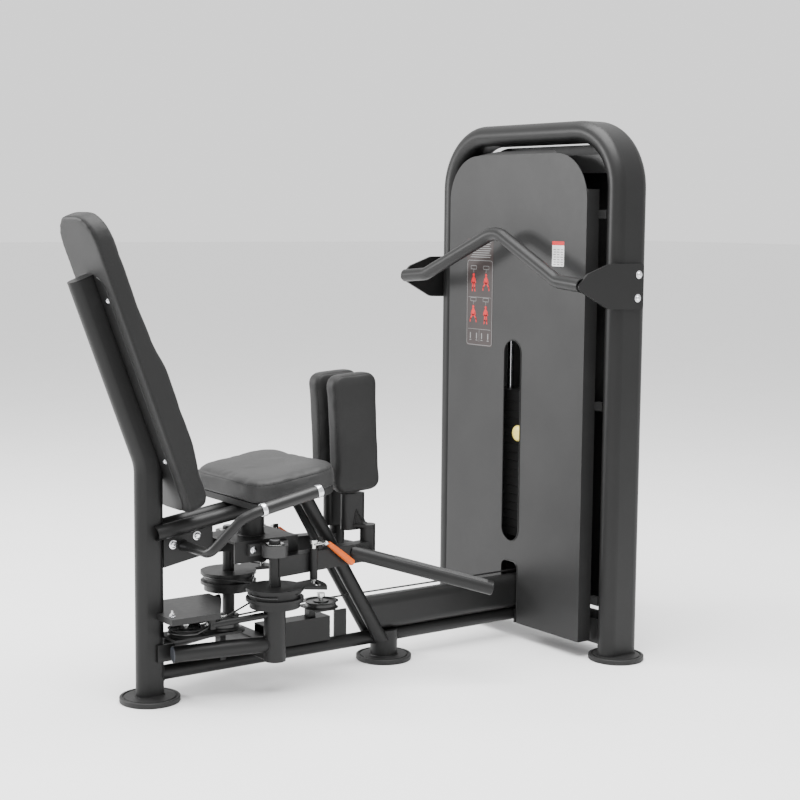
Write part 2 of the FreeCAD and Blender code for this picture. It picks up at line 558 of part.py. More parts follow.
def leg_unit(name, side):
    """Cam with its shaft, swing arm, footrest, plunger, lever, pad post and thigh pad of one side."""
    y = side * pivot_y
    turn = -side * arm_angle                                  # the arm points a little inwards
    ahead = Vector(math.cos(math.radians(turn)), math.sin(math.radians(turn)), 0)
    out = Vector(-ahead.y * side, ahead.x * side, 0)          # square to the arm, away from the seat
    pivot = Vector(pivot_x, y, 0)

    def at(along, outward, z):
        return tuple(pivot + ahead * along + out * outward + Vector(0, 0, z))

    # Cam: two flanges on a hub, a slotted sector on the upper flange, one shaft through all.
    # The plunger stands in the curved slot, whose ends are the two ends of the start position's travel.
    flange = "Sizes.cam_flange"
    high = "housing_high_right" if side < 0 else "housing_high_left"
    low_flange = cylinder(f"{name}_cam_low", "Sizes.cam_radius", flange, (pivot_x, y, val("cam_low")))
    top_flange = cylinder(f"{name}_cam_top", "Sizes.cam_radius", flange,
                          (pivot_x, y, val("cam_high") - val("cam_flange")))
    groove = cylinder(f"{name}_cam_hub", "Sizes.cam_groove - 0.3", "Sizes.cam_high - Sizes.cam_low",
                      (pivot_x, y, val("cam_low")))
    sector = cylinder(f"{name}_sector", "Sizes.index_radius", flange,
                      (pivot_x, y, val("cam_high") - val("cam_flange")), angle=46)
    plunger_turn = -5.1 if side < 0 else 5.1
    sector_start = -36.0 if side < 0 else -10.0
    sector.Placement = Placement(Vector(pivot_x, y, val("cam_high") - val("cam_flange")),
                                 Rotation(Vector(0, 0, 1), sector_start))
    slot_end = plunger_turn + side * start_travel
    slot_half = "Sizes.plunger_radius + Sizes.fit"
    slot_ends = [cylinder(f"{name}_slot_end_{i}", slot_half, "30",
                          tuple(pivot + Vector(math.cos(math.radians(a)), math.sin(math.radians(a)), 0)
                                * val("plunger_reach") + Vector(0, 0, 262)))
                 for i, a in enumerate((plunger_turn, slot_end))]
    slot_outer = cylinder(f"{name}_slot_outer", f"Sizes.plunger_reach + {slot_half}", "30", (0, 0, 0),
                          angle=start_travel)
    slot_inner = cylinder(f"{name}_slot_inner", f"Sizes.plunger_reach - ({slot_half})", "30", (0, 0, 0),
                          angle=start_travel)
    for piece in (slot_outer, slot_inner):
        piece.Placement = Placement(pivot + Vector(0, 0, 262),
                                    Rotation(Vector(0, 0, 1), min(plunger_turn, slot_end)))
    slot = fuse(f"{name}_slot", cut(f"{name}_slot_band", slot_outer, slot_inner), *slot_ends)
    shaft = cylinder(f"{name}_shaft", "Sizes.shaft_radius", "Sizes.shaft_high - Sizes.shaft_low",
                     (pivot_x, y, val("shaft_low")))
    skirt = cylinder(f"{name}_skirt", "16.5", f"Sizes.cam_low - Sizes.{high} - 0.5",
                     (pivot_x, y, val(high) + 0.5))
    drum = cylinder(f"{name}_drum", "Sizes.cam_groove - 0.3", "18", (pivot_x, y, val("cam_low") - 18))
    collar = cylinder(f"{name}_collar", "15", "Sizes.shaft_high - Sizes.bearing_high - 0.4",
                      (pivot_x, y, val("bearing_high") + 0.4))
    cam_body = fuse(f"{name}_cam_body", low_flange, top_flange, groove, sector, shaft, skirt, drum, collar)
    node(cut(f"cam_{name}", cam_body, slot), f"cam_{name}")

    # Swing arm: beam, hub round the shaft, end bushing, sleeve of the plunger, pivot ear of the lever.
    wide, low, tall = val("arm_wide"), val("arm_low"), val("arm_high") - val("arm_low")
    beam_box = box(f"{name}_beam", (0, 0, 0), (reach, wide, tall), {"Width": "Sizes.arm_wide",
                                                                    "Length": "Sizes.arm_reach"})
    beam_box.Placement = Placement(pivot + Vector(0, 0, low) - Vector(-ahead.y, ahead.x, 0) * (wide / 2),
                                   Rotation(Vector(0, 0, 1), turn))
    hub = cylinder(f"{name}_hub", "Sizes.hub_radius", "Sizes.bearing_low - Sizes.cam_high - 0.8",
                   (pivot_x, y, val("cam_high") + 0.4))
    bushing = cylinder(f"{name}_bushing", "Sizes.bush_radius", "Sizes.bush_high - Sizes.bush_low",
                       at(reach, 0, val("bush_low")))
    sleeve_spot = pivot + Vector(math.cos(math.radians(plunger_turn)), math.sin(math.radians(plunger_turn)), 0) \
        * val("plunger_reach")
    sleeve = cylinder(f"{name}_sleeve", "Sizes.sleeve_radius", "80", (sleeve_spot.x, sleeve_spot.y, 290))
    shaft_hole = cylinder(f"{name}_hub_bore", shaft_bore, "120", (pivot_x, y, 270))
    pin_hole = cylinder(f"{name}_bush_bore", "Sizes.swivel_radius + Sizes.fit", "120",
                        at(reach, 0, val("bush_low") + 5))
    plunger_hole = cylinder(f"{name}_sleeve_bore", "Sizes.plunger_radius + Sizes.fit", "120",
                            (sleeve_spot.x, sleeve_spot.y, 280))
    lever_x = 143.0                                           # lever pivot, measured along the arm
    lever_out = (sleeve_spot - pivot).dot(out)
    ear = box(f"{name}_ear", (0, 0, 0), (14, 6, 48))
    ear.Placement = Placement(Vector(*at(lever_x - 7, 8.0 if side > 0 else 14.0, 346)),
                              Rotation(Vector(0, 0, 1), turn))
    pin_way = Vector(*at(0, 1, 0)) - Vector(*at(0, 0, 0))
    ear_hole = cylinder(f"{name}_ear_bore", "Sizes.lever_pin_radius + Sizes.fit", "10", at(lever_x, 6, 381.7), pin_way)
    arm_body = fuse(f"{name}_arm_body", beam_box, hub, bushing, sleeve, ear)
    node(cut(f"arm_{name}", arm_body, shaft_hole, pin_hole, plunger_hole, ear_hole), f"arm_{name}")

    # Footrest bar, welded to the outer side of the arm.
    rest = rod(f"{name}_rest_bar", "Sizes.rest_radius", (-14.0, side * 91.0, 339.0), (300.0, side * 300.0, 240.0))
    node(cut(f"footrest_{name}", rest, beam_box), f"footrest_{name}")

    # Plunger: pin, neck and head.
    pin = cylinder(f"{name}_pin", "Sizes.plunger_radius", "118", (sleeve_spot.x, sleeve_spot.y, 274.5))
    head = cylinder(f"{name}_pin_head", "10", "8", (sleeve_spot.x, sleeve_spot.y, 385))
    node(fuse(f"plunger_{name}", pin, head), f"plunger_{name}")

    # Release lever: two prongs under the plunger head, a block on its pivot pin, and the grip.
    prongs = []
    turned_by = Rotation(Vector(0, 0, 1), turn)
    for k, offset in enumerate((-10.6, 7.6)):
        prong = box(f"{name}_prong_{k}", (0, 0, 0), (40, 3, 5))
        prong.Placement = Placement(Vector(*at(lever_x - 40, 0, 379.2))
                                    + Vector(-ahead.y, ahead.x, 0) * (side * lever_out + offset), turned_by)
        prongs.append(prong)
    block = box(f"{name}_block", (0, 0, 0), (16, 21.2, 9))
    block.Placement = Placement(Vector(*at(lever_x - 6, 0, 377.2))
                                + Vector(-ahead.y, ahead.x, 0) * (side * lever_out - 10.6), turned_by)
    grip = rod(f"{name}_lever_grip", "Sizes.grip_lever_radius", at(lever_x + 12, lever_out + 3, 380),
               at(lever_x + 98, lever_out + 6, 314))
    lever_pin = cylinder(f"{name}_lever_pin", "Sizes.lever_pin_radius", "32", at(lever_x, 6.5, 381.7), pin_way)
    stem = rod(f"{name}_lever_stem", "4", at(lever_x, lever_out + 2, 382), at(lever_x + 20, lever_out + 3, 374))
    node(fuse(f"lever_{name}", *prongs, block, lever_pin, stem, grip), f"lever_{name}")

    # Pad post: flat-oval tube on a swivel plate whose pin turns in the end bushing.
    post = pad(f"{name}_pad_tube", "XY_Plane", [oval(val("pad_post_long"), val("pad_post_wide"))],
               "Sizes.pad_z - Sizes.pad_tall / 2 - 4 - Sizes.pad_post_low",
               0, Placement(Vector(val("pad_x"), side * val("pad_y"), val("pad_post_low")), Rotation()))
    centre = Vector(*at(reach, 0, 0))
    target = Vector(val("pad_x"), side * val("pad_y"), 0)
    away = target - centre
    swivel_low = val("bush_high") + 0.5
    plate_body = box(f"{name}_swivel_bridge", (0, 0, 0), (away.Length, 42, 7))
    heading = Rotation(Vector(1, 0, 0), away)
    plate_body.Placement = Placement(centre + Vector(0, 0, swivel_low) - heading.multVec(Vector(0, 21, 0)),
                                     heading)
    gusset = pad(f"{name}_swivel_gusset", "XZ_Plane",
                 [rounded([(2, 0), (away.Length, 0), (away.Length, 44), (28, 44), (12, 12), (2, 7)], [0, 0, 0, 0, 14, 0])],
                 "30", -15, Placement(centre + Vector(0, 0, swivel_low), heading))
    disc_end = cylinder(f"{name}_swivel_disc", "Sizes.bush_radius", "7", tuple(centre + Vector(0, 0, swivel_low)))
    swivel_pin = cylinder(f"{name}_swivel_pin", "Sizes.swivel_radius", "Sizes.bush_high - Sizes.bush_low - 5",
                          tuple(centre + Vector(0, 0, val("bush_low") + 6)))
    relief = cylinder(f"{name}_relief", "Sizes.bush_radius + 1", "120", tuple(centre + Vector(0, 0, swivel_low - 120)))
    post_body = cut(f"{name}_post_relieved", post, relief)
    node(fuse(f"pad_post_{name}", post_body, plate_body, gusset, disc_end, swivel_pin), f"pad_post_{name}")

    # Thigh pad, leaning back a little.
    half_deep, half_tall = val("pad_deep") / 2, val("pad_tall") / 2
    cushion = pad(f"thigh_pad_{name}", "XZ_Plane", [rectangle(half_deep, half_tall, val("pad_corner"))],
                  "Sizes.pad_thick", -val("pad_thick") / 2,
                  Placement(Vector(val("pad_x"), side * val("pad_y"), val("pad_z")),
                            Rotation(Vector(0, 1, 0), -val("pad_lean"))))
    node(cushion, f"thigh_pad_{name}")


leg_unit("right", -1)
leg_unit("left", 1)

# ---------------------------------------------------------------------------------------------------------
# Seat, backrest and hand grips
# ---------------------------------------------------------------------------------------------------------
seat_turn = Rotation(Vector(0, 1, 0), -val("seat_slope"))
seat_low = Vector(val("seat_x"), 0, val("seat_z")) - seat_turn.multVec(Vector(0, 0, val("seat_thick")))
half_deep, half_seat = val("seat_deep") / 2, val("seat_half")
seat_outline = [(-half_deep, -half_seat), (half_deep, -half_seat), (half_deep, half_seat),
                (-half_deep, half_seat)]
seat = pad("seat_cushion", "XY_Plane", [rounded(seat_outline, [40, 75, 75, 40])], "Sizes.seat_thick", 0,
           Placement(seat_low, seat_turn))
node(seat, "seat_cushion")
board_outline = [(x * 0.93, y * 0.94) for x, y in seat_outline]
board_low = seat_low - seat_turn.multVec(Vector(0, 0, val("seat_board")))
node(pad("seat_board", "XY_Plane", [rounded(board_outline, [34, 68, 68, 34])], "Sizes.seat_board - 0.4", 0.2,
         Placement(board_low, seat_turn)), "seat_board")

back_turn = Rotation(Vector(0, 1, 0), -val("back_angle"))
back_frame = Placement(Vector(-540.0, 0, 600.0), back_turn)
back_half, back_low, back_high = val("back_half"), val("back_low"), val("back_high")
shell_t = val("shell_thick")
front_outline = [(-back_half, back_low), (back_half, back_low), (back_half, back_high), (-back_half, back_high)]
outline_yz = pad("back_outline", "YZ_Plane", [rounded(front_outline, [38, 38, 80, 80])], "120", -10, back_frame)
profile = [(shell_t + 0.2, back_low), (54, back_low), (60, -40), (70, 80), (70, 235), (58, 330), (52.5, 430),
           (52.5, back_high), (shell_t + 0.2, back_high)]
profile_xz = pad("back_profile", "XZ_Plane", [rounded(profile, [0, 14, 60, 120, 120, 200, 200, 20, 0])],
                 "2 * Sizes.back_half + 10", -back_half - 5, back_frame)
node(common("backrest_cushion", outline_yz, profile_xz), "backrest_cushion")

shell_points = [(-back_half + 4, back_low + 6), (back_half - 4, back_low + 6), (back_half - 4, back_high - 6),
                (-back_half + 4, back_high - 6)]
shell = pad("shell_block", "YZ_Plane", [rounded(shell_points, [34, 34, 76, 76])], "Sizes.shell_thick", 0,
            back_frame)
channel_cut = box("shell_channel", (0, 0, 0), (31, 54, 760))
channel_cut.Placement = Placement(back_frame.multVec(Vector(-15, -27, -200)), back_turn)
node(cut("backrest_shell", shell, channel_cut, post_envelope), "backrest_shell")

handles, grips = [], []
for i, side in enumerate((-1, 1)):
    bend_point, tip = (-386, side * 232, 506), (-212, side * 240, 543)
    wire = bent_wire([(-484, side * 24.7, 397), (-484, side * 165, 399), (-424, side * 215, 486), bend_point, tip],
                     [34, 44, 60])
    handles.append(bent_tube(f"handle_{i}", wire, disc(val("handle_radius")), disc(val("handle_radius") - 2.5),
                             (1, 0, 0)))
    direction = unit(Vector(*tip) - Vector(*bend_point))
    start, end = Vector(*bend_point) + direction * 26, Vector(*tip) - direction * 1
    grip = rod(f"grip_bar_{i}", "Sizes.grip_radius", tuple(start), tuple(end))
    hole = rod(f"grip_bore_{i}", "Sizes.handle_radius + 0.15", tuple(start - direction * 3),
               tuple(end + direction * 30))
    grips.append(cut(f"grip_{i}", grip, hole))
node(group("handle_tubes", *handles), "handle_tubes")
node(group("handle_grips", *grips), "handle_grips")

# ---------------------------------------------------------------------------------------------------------
# Tower
# ---------------------------------------------------------------------------------------------------------
tower_x, tower_y, bend = val("tower_x"), val("tower_post_y"), val("tower_bend")
crown = val("tower_height") - val("tower_wide") / 2
tower_wire = bent_wire([(tower_x, -tower_y, foot_top), (tower_x, -tower_y, crown), (tower_x, tower_y, crown),
                        (tower_x, tower_y, foot_top)], [bend, bend])
long, wide = val("tower_long"), val("tower_wide")
node(bent_tube("tower_arch", tower_wire, oval(long, wide), oval(long, wide, wall)), "tower_arch")

inside = tower_y - wide / 2
base_long, base_low, base_top = val("base_beam_long"), val("base_beam_bottom"), val("base_beam_top")
base = box("base_bar", (tower_x - base_long / 2, -inside, base_low), (base_long, 2 * inside, base_top - base_low))
cheeks = [box(f"low_cheek_{i}", (low_centre[0] - 14, y, base_top - 5), (28, 5, low_centre[2] + 12 - base_top + 5))
          for i, y in enumerate((-14.0, 9.0))]
axle_d_bore = cylinder("axle_d_bore", axle, "60", (low_centre[0], -30, low_centre[2]), (0, 1, 0))
stack_x, rod_y, stack_low = val("stack_x"), val("rod_y"), val("stack_low")
pillars = [box(f"pillar_{i}", (stack_x - 34, y, base_top - 5), (68, 80, stack_low - base_top + 4.8))
           for i, y in enumerate((-150.0, 70.0))]
pillar_bores = [cylinder(f"pillar_bore_{i}", "Sizes.rod_radius", "300", (stack_x, y, base_top))
                for i, y in enumerate((-rod_y, rod_y))]
node(cut("tower_base_beam", fuse("base_body", base, *cheeks, *pillars), axle_d_bore, *pillar_bores),
     "tower_base_beam")

head_low, head_high = val("crosshead_bottom"), val("crosshead_top")
head_bar = box("head_bar", (tower_x - val("crosshead_deep") / 2, -inside, head_low),
               (val("crosshead_deep"), 2 * inside, head_high - head_low))
head_cheeks = [box(f"top_cheek_{i}", (top_centre[0] - 12, y, top_centre[2] - 12),
                   (24, 5, head_low - top_centre[2] + 17)) for i, y in enumerate((-14.0, 9.0))]
axle_e_bore = cylinder("axle_e_bore", axle, "60", (top_centre[0], -30, top_centre[2]), (0, 1, 0))
arch_envelope = sweep("arch_envelope", oval(long, wide), tower_wire)
node(cut("top_crosshead", fuse("head_body", head_bar, *head_cheeks), axle_e_bore, arch_envelope), "top_crosshead")

panel_x, panel_half = val("panel_x"), val("panel_half")
panel_low, panel_high, slot_half = val("panel_bottom"), val("panel_top"), val("slot_half")
panel_points = [(-panel_half, panel_low), (-36, panel_low), (-36, 226), (36, 226), (36, panel_low),
                (panel_half, panel_low), (panel_half, panel_high), (-panel_half, panel_high)]
slot = rectangle(slot_half, (val("slot_high") - val("slot_low")) / 2, slot_half, 0,
                 (val("slot_high") + val("slot_low")) / 2)
corner_r = val("panel_corner")
node(pad("front_panel", "YZ_Plane",
         [rounded(panel_points, [2, 0, 20, 20, 0, 2, corner_r, corner_r]), slot],
         "Sizes.panel_thick", panel_x), "front_panel")

covers = []
for i, side in enumerate((-1, 1)):
    face = side * panel_half
    wing = box(f"cover_wing_{i}", (panel_x + val("panel_thick"), min(face, face - side * 2), panel_low),
               (val("cover_depth"), 2, val("cover_top") - panel_low), {"Length": "Sizes.cover_depth"})
    tabs = [box(f"cover_tab_{i}_{k}", (panel_x + 43, min(face, side * inside), z), (15, inside - panel_half, 24))
            for k, z in enumerate((150, 700, 1230))]
    covers.append(fuse(f"cover_{i}", wing, *tabs))
node(group("side_covers", *covers), "side_covers")

rear_points = [(-inside + 1, 115), (inside - 1, 115), (inside - 1, 1438), (-inside + 1, 1438)]
node(pad("rear_panel", "YZ_Plane", [rounded(rear_points, [4, 4, 131, 131])], "2", val("rear_panel_x")), "rear_panel")

node(group("guide_rods", *[cylinder(f"guide_rod_{i}", "Sizes.rod_radius",
                                    "Sizes.crosshead_bottom - Sizes.base_beam_top",
                                    (stack_x, y, base_top)) for i, y in enumerate((-rod_y, rod_y))]), "guide_rods")

plate_t, pitch = val("plate_thick"), val("plate_pitch")
deep, half_wide = val("stack_deep"), val("stack_half")


def weight_plate(z):
    """One weight plate with its rod holes, selector bore and pin hole."""
    shape = Part.makeBox(deep, 2 * half_wide, plate_t, Vector(stack_x - deep / 2, -half_wide, z))
    for y in (-rod_y, rod_y):
        shape = shape.cut(Part.makeCylinder(val("rod_radius") + 1.0, plate_t, Vector(stack_x, y, z)))
    shape = shape.cut(Part.makeCylinder(val("selector_radius") + 0.8, plate_t, Vector(stack_x, 0, z)))
    return shape.cut(Part.makeCylinder(val("pin_radius") + 0.4, 60, Vector(stack_x - deep / 2 - 1, 0,
                                                                          z + plate_t / 2), Vector(1, 0, 0)))


lifted_from, plate_count = 12, 16                     # the pin sits in the first lifted plate
node(solids("resting_plates", [weight_plate(stack_low + i * pitch) for i in range(lifted_from)]),
     "resting_plates")
node(solids("lifted_plates", [weight_plate(stack_low + i * pitch) for i in range(lifted_from, plate_count)]),
     "lifted_plates")
head_low_z = stack_low + plate_count * pitch
head_block = box("head_block", (stack_x - deep / 2, -half_wide, head_low_z), (deep, 2 * half_wide, 34),
                 {"Height": "Sizes.head_thick"})
head_bores = [cylinder(f"head_bore_{i}", "Sizes.rod_radius + 1", "60", (stack_x, y, head_low_z - 10))
              for i, y in enumerate((-rod_y, rod_y))]
pin_z = stack_low + lifted_from * pitch + plate_t / 2
selector = cylinder("selector_bar", "Sizes.selector_radius", f"{head_low_z + 10 - stack_low - 20:.3f}",
                    (stack_x, 0, stack_low + 20))
selector_hole = cylinder("selector_hole", "Sizes.pin_radius + 0.4", "60", (stack_x - 30, 0, pin_z), (1, 0, 0))
eye = cylinder("head_eye", "9", "16", (stack_x, 0, head_low_z + val("head_thick")))
node(cut("weight_head", fuse("weight_head_body", head_block, selector, eye), *head_bores, selector_hole),
     "weight_head")
cable_low = head_low_z + val("head_thick") + 16
node(cylinder("lift_cable", "Sizes.cable_radius", f"Sizes.top_pulley_z - {cable_low:.3f}",
              (stack_x, 0, cable_low)), "lift_cable")

knob_x = stack_x - deep / 2 - 8 - val("knob_deep")
knob = cylinder("pin_knob", "Sizes.knob_radius", "Sizes.knob_deep", (knob_x, 0, pin_z), (1, 0, 0))
pin = rod("pin_bar", "Sizes.pin_radius", (knob_x + 5, 0, pin_z), (stack_x + 9, 0, pin_z))
node(fuse("selector_pin", knob, pin), "selector_pin")

# Handlebar across the front of the tower and its two side plates.
lug_outline = [(491, 1046), (604, 987), (735, 983), (735, 1109), (607, 1109), (529, 1082)]
outer_face = tower_y + wide / 2
lugs = []
for i, offset in enumerate((outer_face, -outer_face - val("lug_thick"))):
    lugs.append(pad(f"lug_{i}", "XZ_Plane", [rounded(lug_outline, [9, 30, 10, 10, 30, 20])],
                    "Sizes.lug_thick", offset))
node(group("handlebar_plates", *lugs), "handlebar_plates")
bar_wire = bent_wire([(512, -outer_face - 2, 1052), (514, -300, 1060), (540, 0, 1192), (514, 300, 1060),
                      (512, outer_face + 2, 1052)], [60, 90, 60])
bar_tube = bent_tube("handlebar_tube", bar_wire, disc(val("handlebar_radius")),
                     disc(val("handlebar_radius") - wall), (1, 0, 0))
node(cut("handlebar", bar_tube, *lugs), "handlebar")

# Bolt heads: handlebar plates, gusset plates, backrest brackets, bearings, cover plate, rail clevis.
bolts = []


def bolt(point, direction, radius=8.0, tall=7.0):
    bolts.append(cylinder(f"bolt_{len(bolts)}", f"{radius}", f"{tall}", point, direction))


for side in (-1, 1):
    face = side * (outer_face + val("lug_thick"))
    for x, z in ((716, 1079), (713, 1015)):
        bolt((x, face, z), (0, side, 0), 9.5, 6.0)
    for x, z in ((-512, 402), (-444, 418)):
        bolt((x, side * 24.5, z), (0, side, 0), 9.0, 8.0)
    for x in (pivot_x - 47, pivot_x + 47):
        bolt((x, side * (chan_half + 12), 377), (0, side, 0), 7.0, 8.0)
    for along in (22.0, 452.0):
        spot = back_frame.multVec(Vector(-26, 0, along))
        bolt((spot.x, side * post_wide / 2, spot.z), (0, side, 0), 6.0, 4.0)
bolt((-540, -70, val("plate_top")), (0, 0, 1), 7.5, 10.0)
node(group("frame_bolts", *bolts), "frame_bolts")

clevis = fuse("clevis_body", box("clevis_a", (612, -27, 44), (34, 6, 40)), box("clevis_b", (612, 21, 44), (34, 6, 40)),
              cylinder("clevis_pin", "7", "64", (630, -32, 58), (0, 1, 0)))
node(cut("rail_clevis", clevis, rod("clevis_clear", "Sizes.rail_radius + 0.05", (560, 0, rail_z), (700, 0, rail_z))),
     "rail_clevis")

# ---------------------------------------------------------------------------------------------------------
# Check and write
# ---------------------------------------------------------------------------------------------------------
doc.recompute()
bad = [o.Name for o in doc.Objects if "Invalid" in o.State or "Error" in o.State]
for piece in NODES:
    if piece.Shape.isNull() or not piece.Shape.isValid() or not piece.Shape.Solids:
        bad.append(piece.Label)
if bad:
    raise RuntimeError("failed objects: " + ", ".join(bad))
if len({piece.Label for piece in NODES}) != len(NODES) or len(NODES) > 60:
    raise RuntimeError(f"{len(NODES)} nodes, or a label used twice")
os.makedirs("parts", exist_ok=True)
for piece in NODES:
    piece.Shape.exportStep(os.path.join("parts", piece.Label + ".step"))
print(len(NODES), "nodes written")
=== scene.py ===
"""Visual model of a seated hip abductor machine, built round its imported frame.

Lengths are metres in the frame of the machine: X runs from the backrest to the weight tower, Y goes across
the machine and Z points up. Right is the side of negative Y. Sizes written with mm() are millimetres in that
frame.
"""
import logging
import math
from dataclasses import dataclass, field
from enum import Enum
from typing import Callable, Iterator, Sequence

import bmesh
import bpy
from mathutils import Matrix, Vector, kdtree
from mathutils.bvhtree import BVHTree


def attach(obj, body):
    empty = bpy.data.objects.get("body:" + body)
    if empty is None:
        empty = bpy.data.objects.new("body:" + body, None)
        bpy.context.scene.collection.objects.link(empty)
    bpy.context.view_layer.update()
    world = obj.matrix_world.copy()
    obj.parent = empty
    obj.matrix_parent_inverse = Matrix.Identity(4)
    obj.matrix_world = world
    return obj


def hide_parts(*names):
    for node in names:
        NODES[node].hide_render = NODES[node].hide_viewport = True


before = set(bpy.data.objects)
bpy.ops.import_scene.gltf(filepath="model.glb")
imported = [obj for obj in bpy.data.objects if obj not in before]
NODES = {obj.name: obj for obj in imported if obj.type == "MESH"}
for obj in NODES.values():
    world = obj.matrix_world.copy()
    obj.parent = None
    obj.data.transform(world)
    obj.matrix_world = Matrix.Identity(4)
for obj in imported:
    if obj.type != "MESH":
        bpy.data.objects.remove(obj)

LOG = logging.getLogger("hip_abductor")
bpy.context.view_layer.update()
MM = 0.001
Shape = bmesh.types.BMesh
SIDES = {"right": -1, "left": 1}
UP = Vector((0, 0, 1))
SEAT_SLOPE = 8.3
BACK_LEAN = 20.5
BACK_FOOT = (-540, 0, 600)
PIVOT_X, PIVOT_Y = -270.0, 120.0
RAIL_RADIUS = 19.0
HANDLE_RADIUS = 12.5


def mm(x: float, y: float, z: float) -> Vector:
    """A point given in millimetres, in metres."""
    return Vector((x, y, z)) * MM


def mirrored(point: Sequence[float], side: int) -> Vector:
    """A point of the left side, given in millimetres, moved to a side."""
    return mm(point[0], side * point[1], point[2])


Colour = tuple[float, float, float, float]


def tone(red: float, green: float | None = None, blue: float | None = None) -> Colour:
    """A display colour from 0 to 255 as a linear colour.

    Args:
        red: the red value, or the grey one if it stands alone.
        green: the green value.
        blue: the blue value.

    Returns:
        Linear red, green, blue and alpha.
    """
    values = (red, red if green is None else green, red if blue is None else blue)
    linear = [v / 255 / 12.92 if v / 255 <= 0.04045 else ((v / 255 + 0.055) / 1.055) ** 2.4 for v in values]
    return (linear[0], linear[1], linear[2], 1.0)


# --- Shader graph ---
class Signal:
    """A value inside a shader, which takes part in arithmetic."""

    def __init__(self, graph: "Graph", socket: bpy.types.NodeSocket) -> None:
        """Wraps an output socket."""
        self.graph = graph
        self.socket = socket

    def maths(self, operation: str, *values: "Signal | float") -> "Signal":
        """Adds one Math node.

        Args:
            operation: the node's operation.
            values: its inputs, in order.

        Returns:
            The node's result.
        """
        made = self.graph.node("ShaderNodeMath", {"operation": operation}, dict(enumerate(values)))
        return Signal(self.graph, made.outputs[0])

    def __add__(self, other: "Signal | float") -> "Signal":
        """Sum."""
        return self.maths("ADD", self, other)

    def __sub__(self, other: "Signal | float") -> "Signal":
        """Difference."""
        return self.maths("SUBTRACT", self, other)

    def __mul__(self, other: "Signal | float") -> "Signal":
        """Product."""
        return self.maths("MULTIPLY", self, other)

    def __rsub__(self, other: float) -> "Signal":
        """Difference from a number."""
        return self.maths("SUBTRACT", other, self)

    __radd__ = __add__
    __rmul__ = __mul__

    def sine(self) -> "Signal":
        """Sine of the value in radians."""
        return self.maths("SINE", self)

    def step(self, low: float, high: float) -> "Signal":
        """A smooth climb from 0 at low to 1 at high."""
        made = self.graph.node("ShaderNodeMapRange", {"interpolation_type": "SMOOTHSTEP"},
                               {"Value": self, "From Min": low, "From Max": high})
        return Signal(self.graph, made.outputs["Result"])


class Graph:
    """One material under construction."""

    def __init__(self, name: str) -> None:
        """Starts a material with its principled shader."""
        self.material = bpy.data.materials.new(name)
        self.material.use_nodes = True
        self.tree = self.material.node_tree
        self.shader = self.tree.nodes["Principled BSDF"]

    def node(self, kind: str, settings: dict | None = None, inputs: dict | None = None) -> bpy.types.Node:
        """Adds a node.

        Args:
            kind: the node's type.
            settings: its properties, which are set first.
            inputs: values or links for its sockets, by name or number.

        Returns:
            The node.
        """
        made = self.tree.nodes.new(kind)
        for key, value in (settings or {}).items():
            setattr(made, key, value)
        for key, value in (inputs or {}).items():
            self.feed(made.inputs[key], value)
        return made

    def feed(self, socket: bpy.types.NodeSocket, value: object) -> None:
        """Links a signal into a socket, or sets the socket to a plain value."""
        if isinstance(value, Signal):
            self.tree.links.new(value.socket, socket)
        else:
            socket.default_value = value

    def place(self) -> Signal:
        """Position on the piece, in metres."""
        return Signal(self, self.node("ShaderNodeTexCoord").outputs["Object"])

    def axis(self, vector: Signal, name: str) -> Signal:
        """One of X, Y and Z of a vector."""
        return Signal(self, self.node("ShaderNodeSeparateXYZ", None, {0: vector}).outputs[name])

    def stretched(self, vector: Signal, scale: Sequence[float], turn: Sequence[float] = (0, 0, 0)) -> Signal:
        """A position turned and scaled along its axes."""
        made = self.node("ShaderNodeMapping", None, {"Vector": vector, "Scale": scale, "Rotation": turn})
        return Signal(self, made.outputs[0])

    def noise(self, vector: Signal, scale: float, detail: float = 2.0, rough: float = 0.5) -> Signal:
        """Cloudy noise from 0 to 1; scale is in cells for each metre."""
        made = self.node("ShaderNodeTexNoise", None,
                         {"Vector": vector, "Scale": scale, "Detail": detail, "Roughness": rough})
        return Signal(self, made.outputs[0])

    def cells(self, vector: Signal, scale: float, feature: str = "F1") -> Signal:
        """Distance pattern of a cellular texture."""
        made = self.node("ShaderNodeTexVoronoi", {"feature": feature}, {"Vector": vector, "Scale": scale})
        return Signal(self, made.outputs["Distance"])

    def facing_up(self) -> Signal:
        """How far the surface faces up, from -1 to 1."""
        normal = Signal(self, self.node("ShaderNodeNewGeometry").outputs["Normal"])
        return self.axis(normal, "Z")

    def blend(self, factor: Signal, low: object, high: object) -> Signal:
        """Colour mixed from low to high by a factor."""
        made = self.node("ShaderNodeMix", {"data_type": "RGBA"}, {0: factor, 6: low, 7: high})
        return Signal(self, made.outputs[2])

    def bump(self, height: Signal, depth: float, strength: float = 1.0) -> None:
        """Feeds a height from 0 to 1, depth metres tall, to the shader's normal."""
        made = self.node("ShaderNodeBump", None, {"Height": height, "Distance": depth, "Strength": strength})
        self.tree.links.new(made.outputs[0], self.shader.inputs["Normal"])

    def surface(self, **values: object) -> None:
        """Sets or links the shader's own sockets; an underscore stands for a space."""
        for key, value in values.items():
            self.feed(self.shader.inputs[key.replace("_", " ")], value)


# --- Finishes ---
_MADE: dict[str, bpy.types.Material] = {}


@dataclass(frozen=True)
class Finish:
    """A surface finish: its name, its record slot, its grey or colour, and its roughness."""

    label: str
    slot: str
    colour: Colour
    roughness: float

    def material(self) -> bpy.types.Material:
        """The finish's material, made once."""
        if self.label not in _MADE:
            graph = Graph(self.label)
            self.dress(graph)
            _MADE[self.label] = graph.material
        return _MADE[self.label]

    def shade(self, share: float) -> Colour:
        """The finish's colour made lighter or darker."""
        return (*(min(1.0, c * share) for c in self.colour[:3]), 1.0)

    def dress(self, graph: Graph) -> None:
        """Builds the shader."""
        raise NotImplementedError


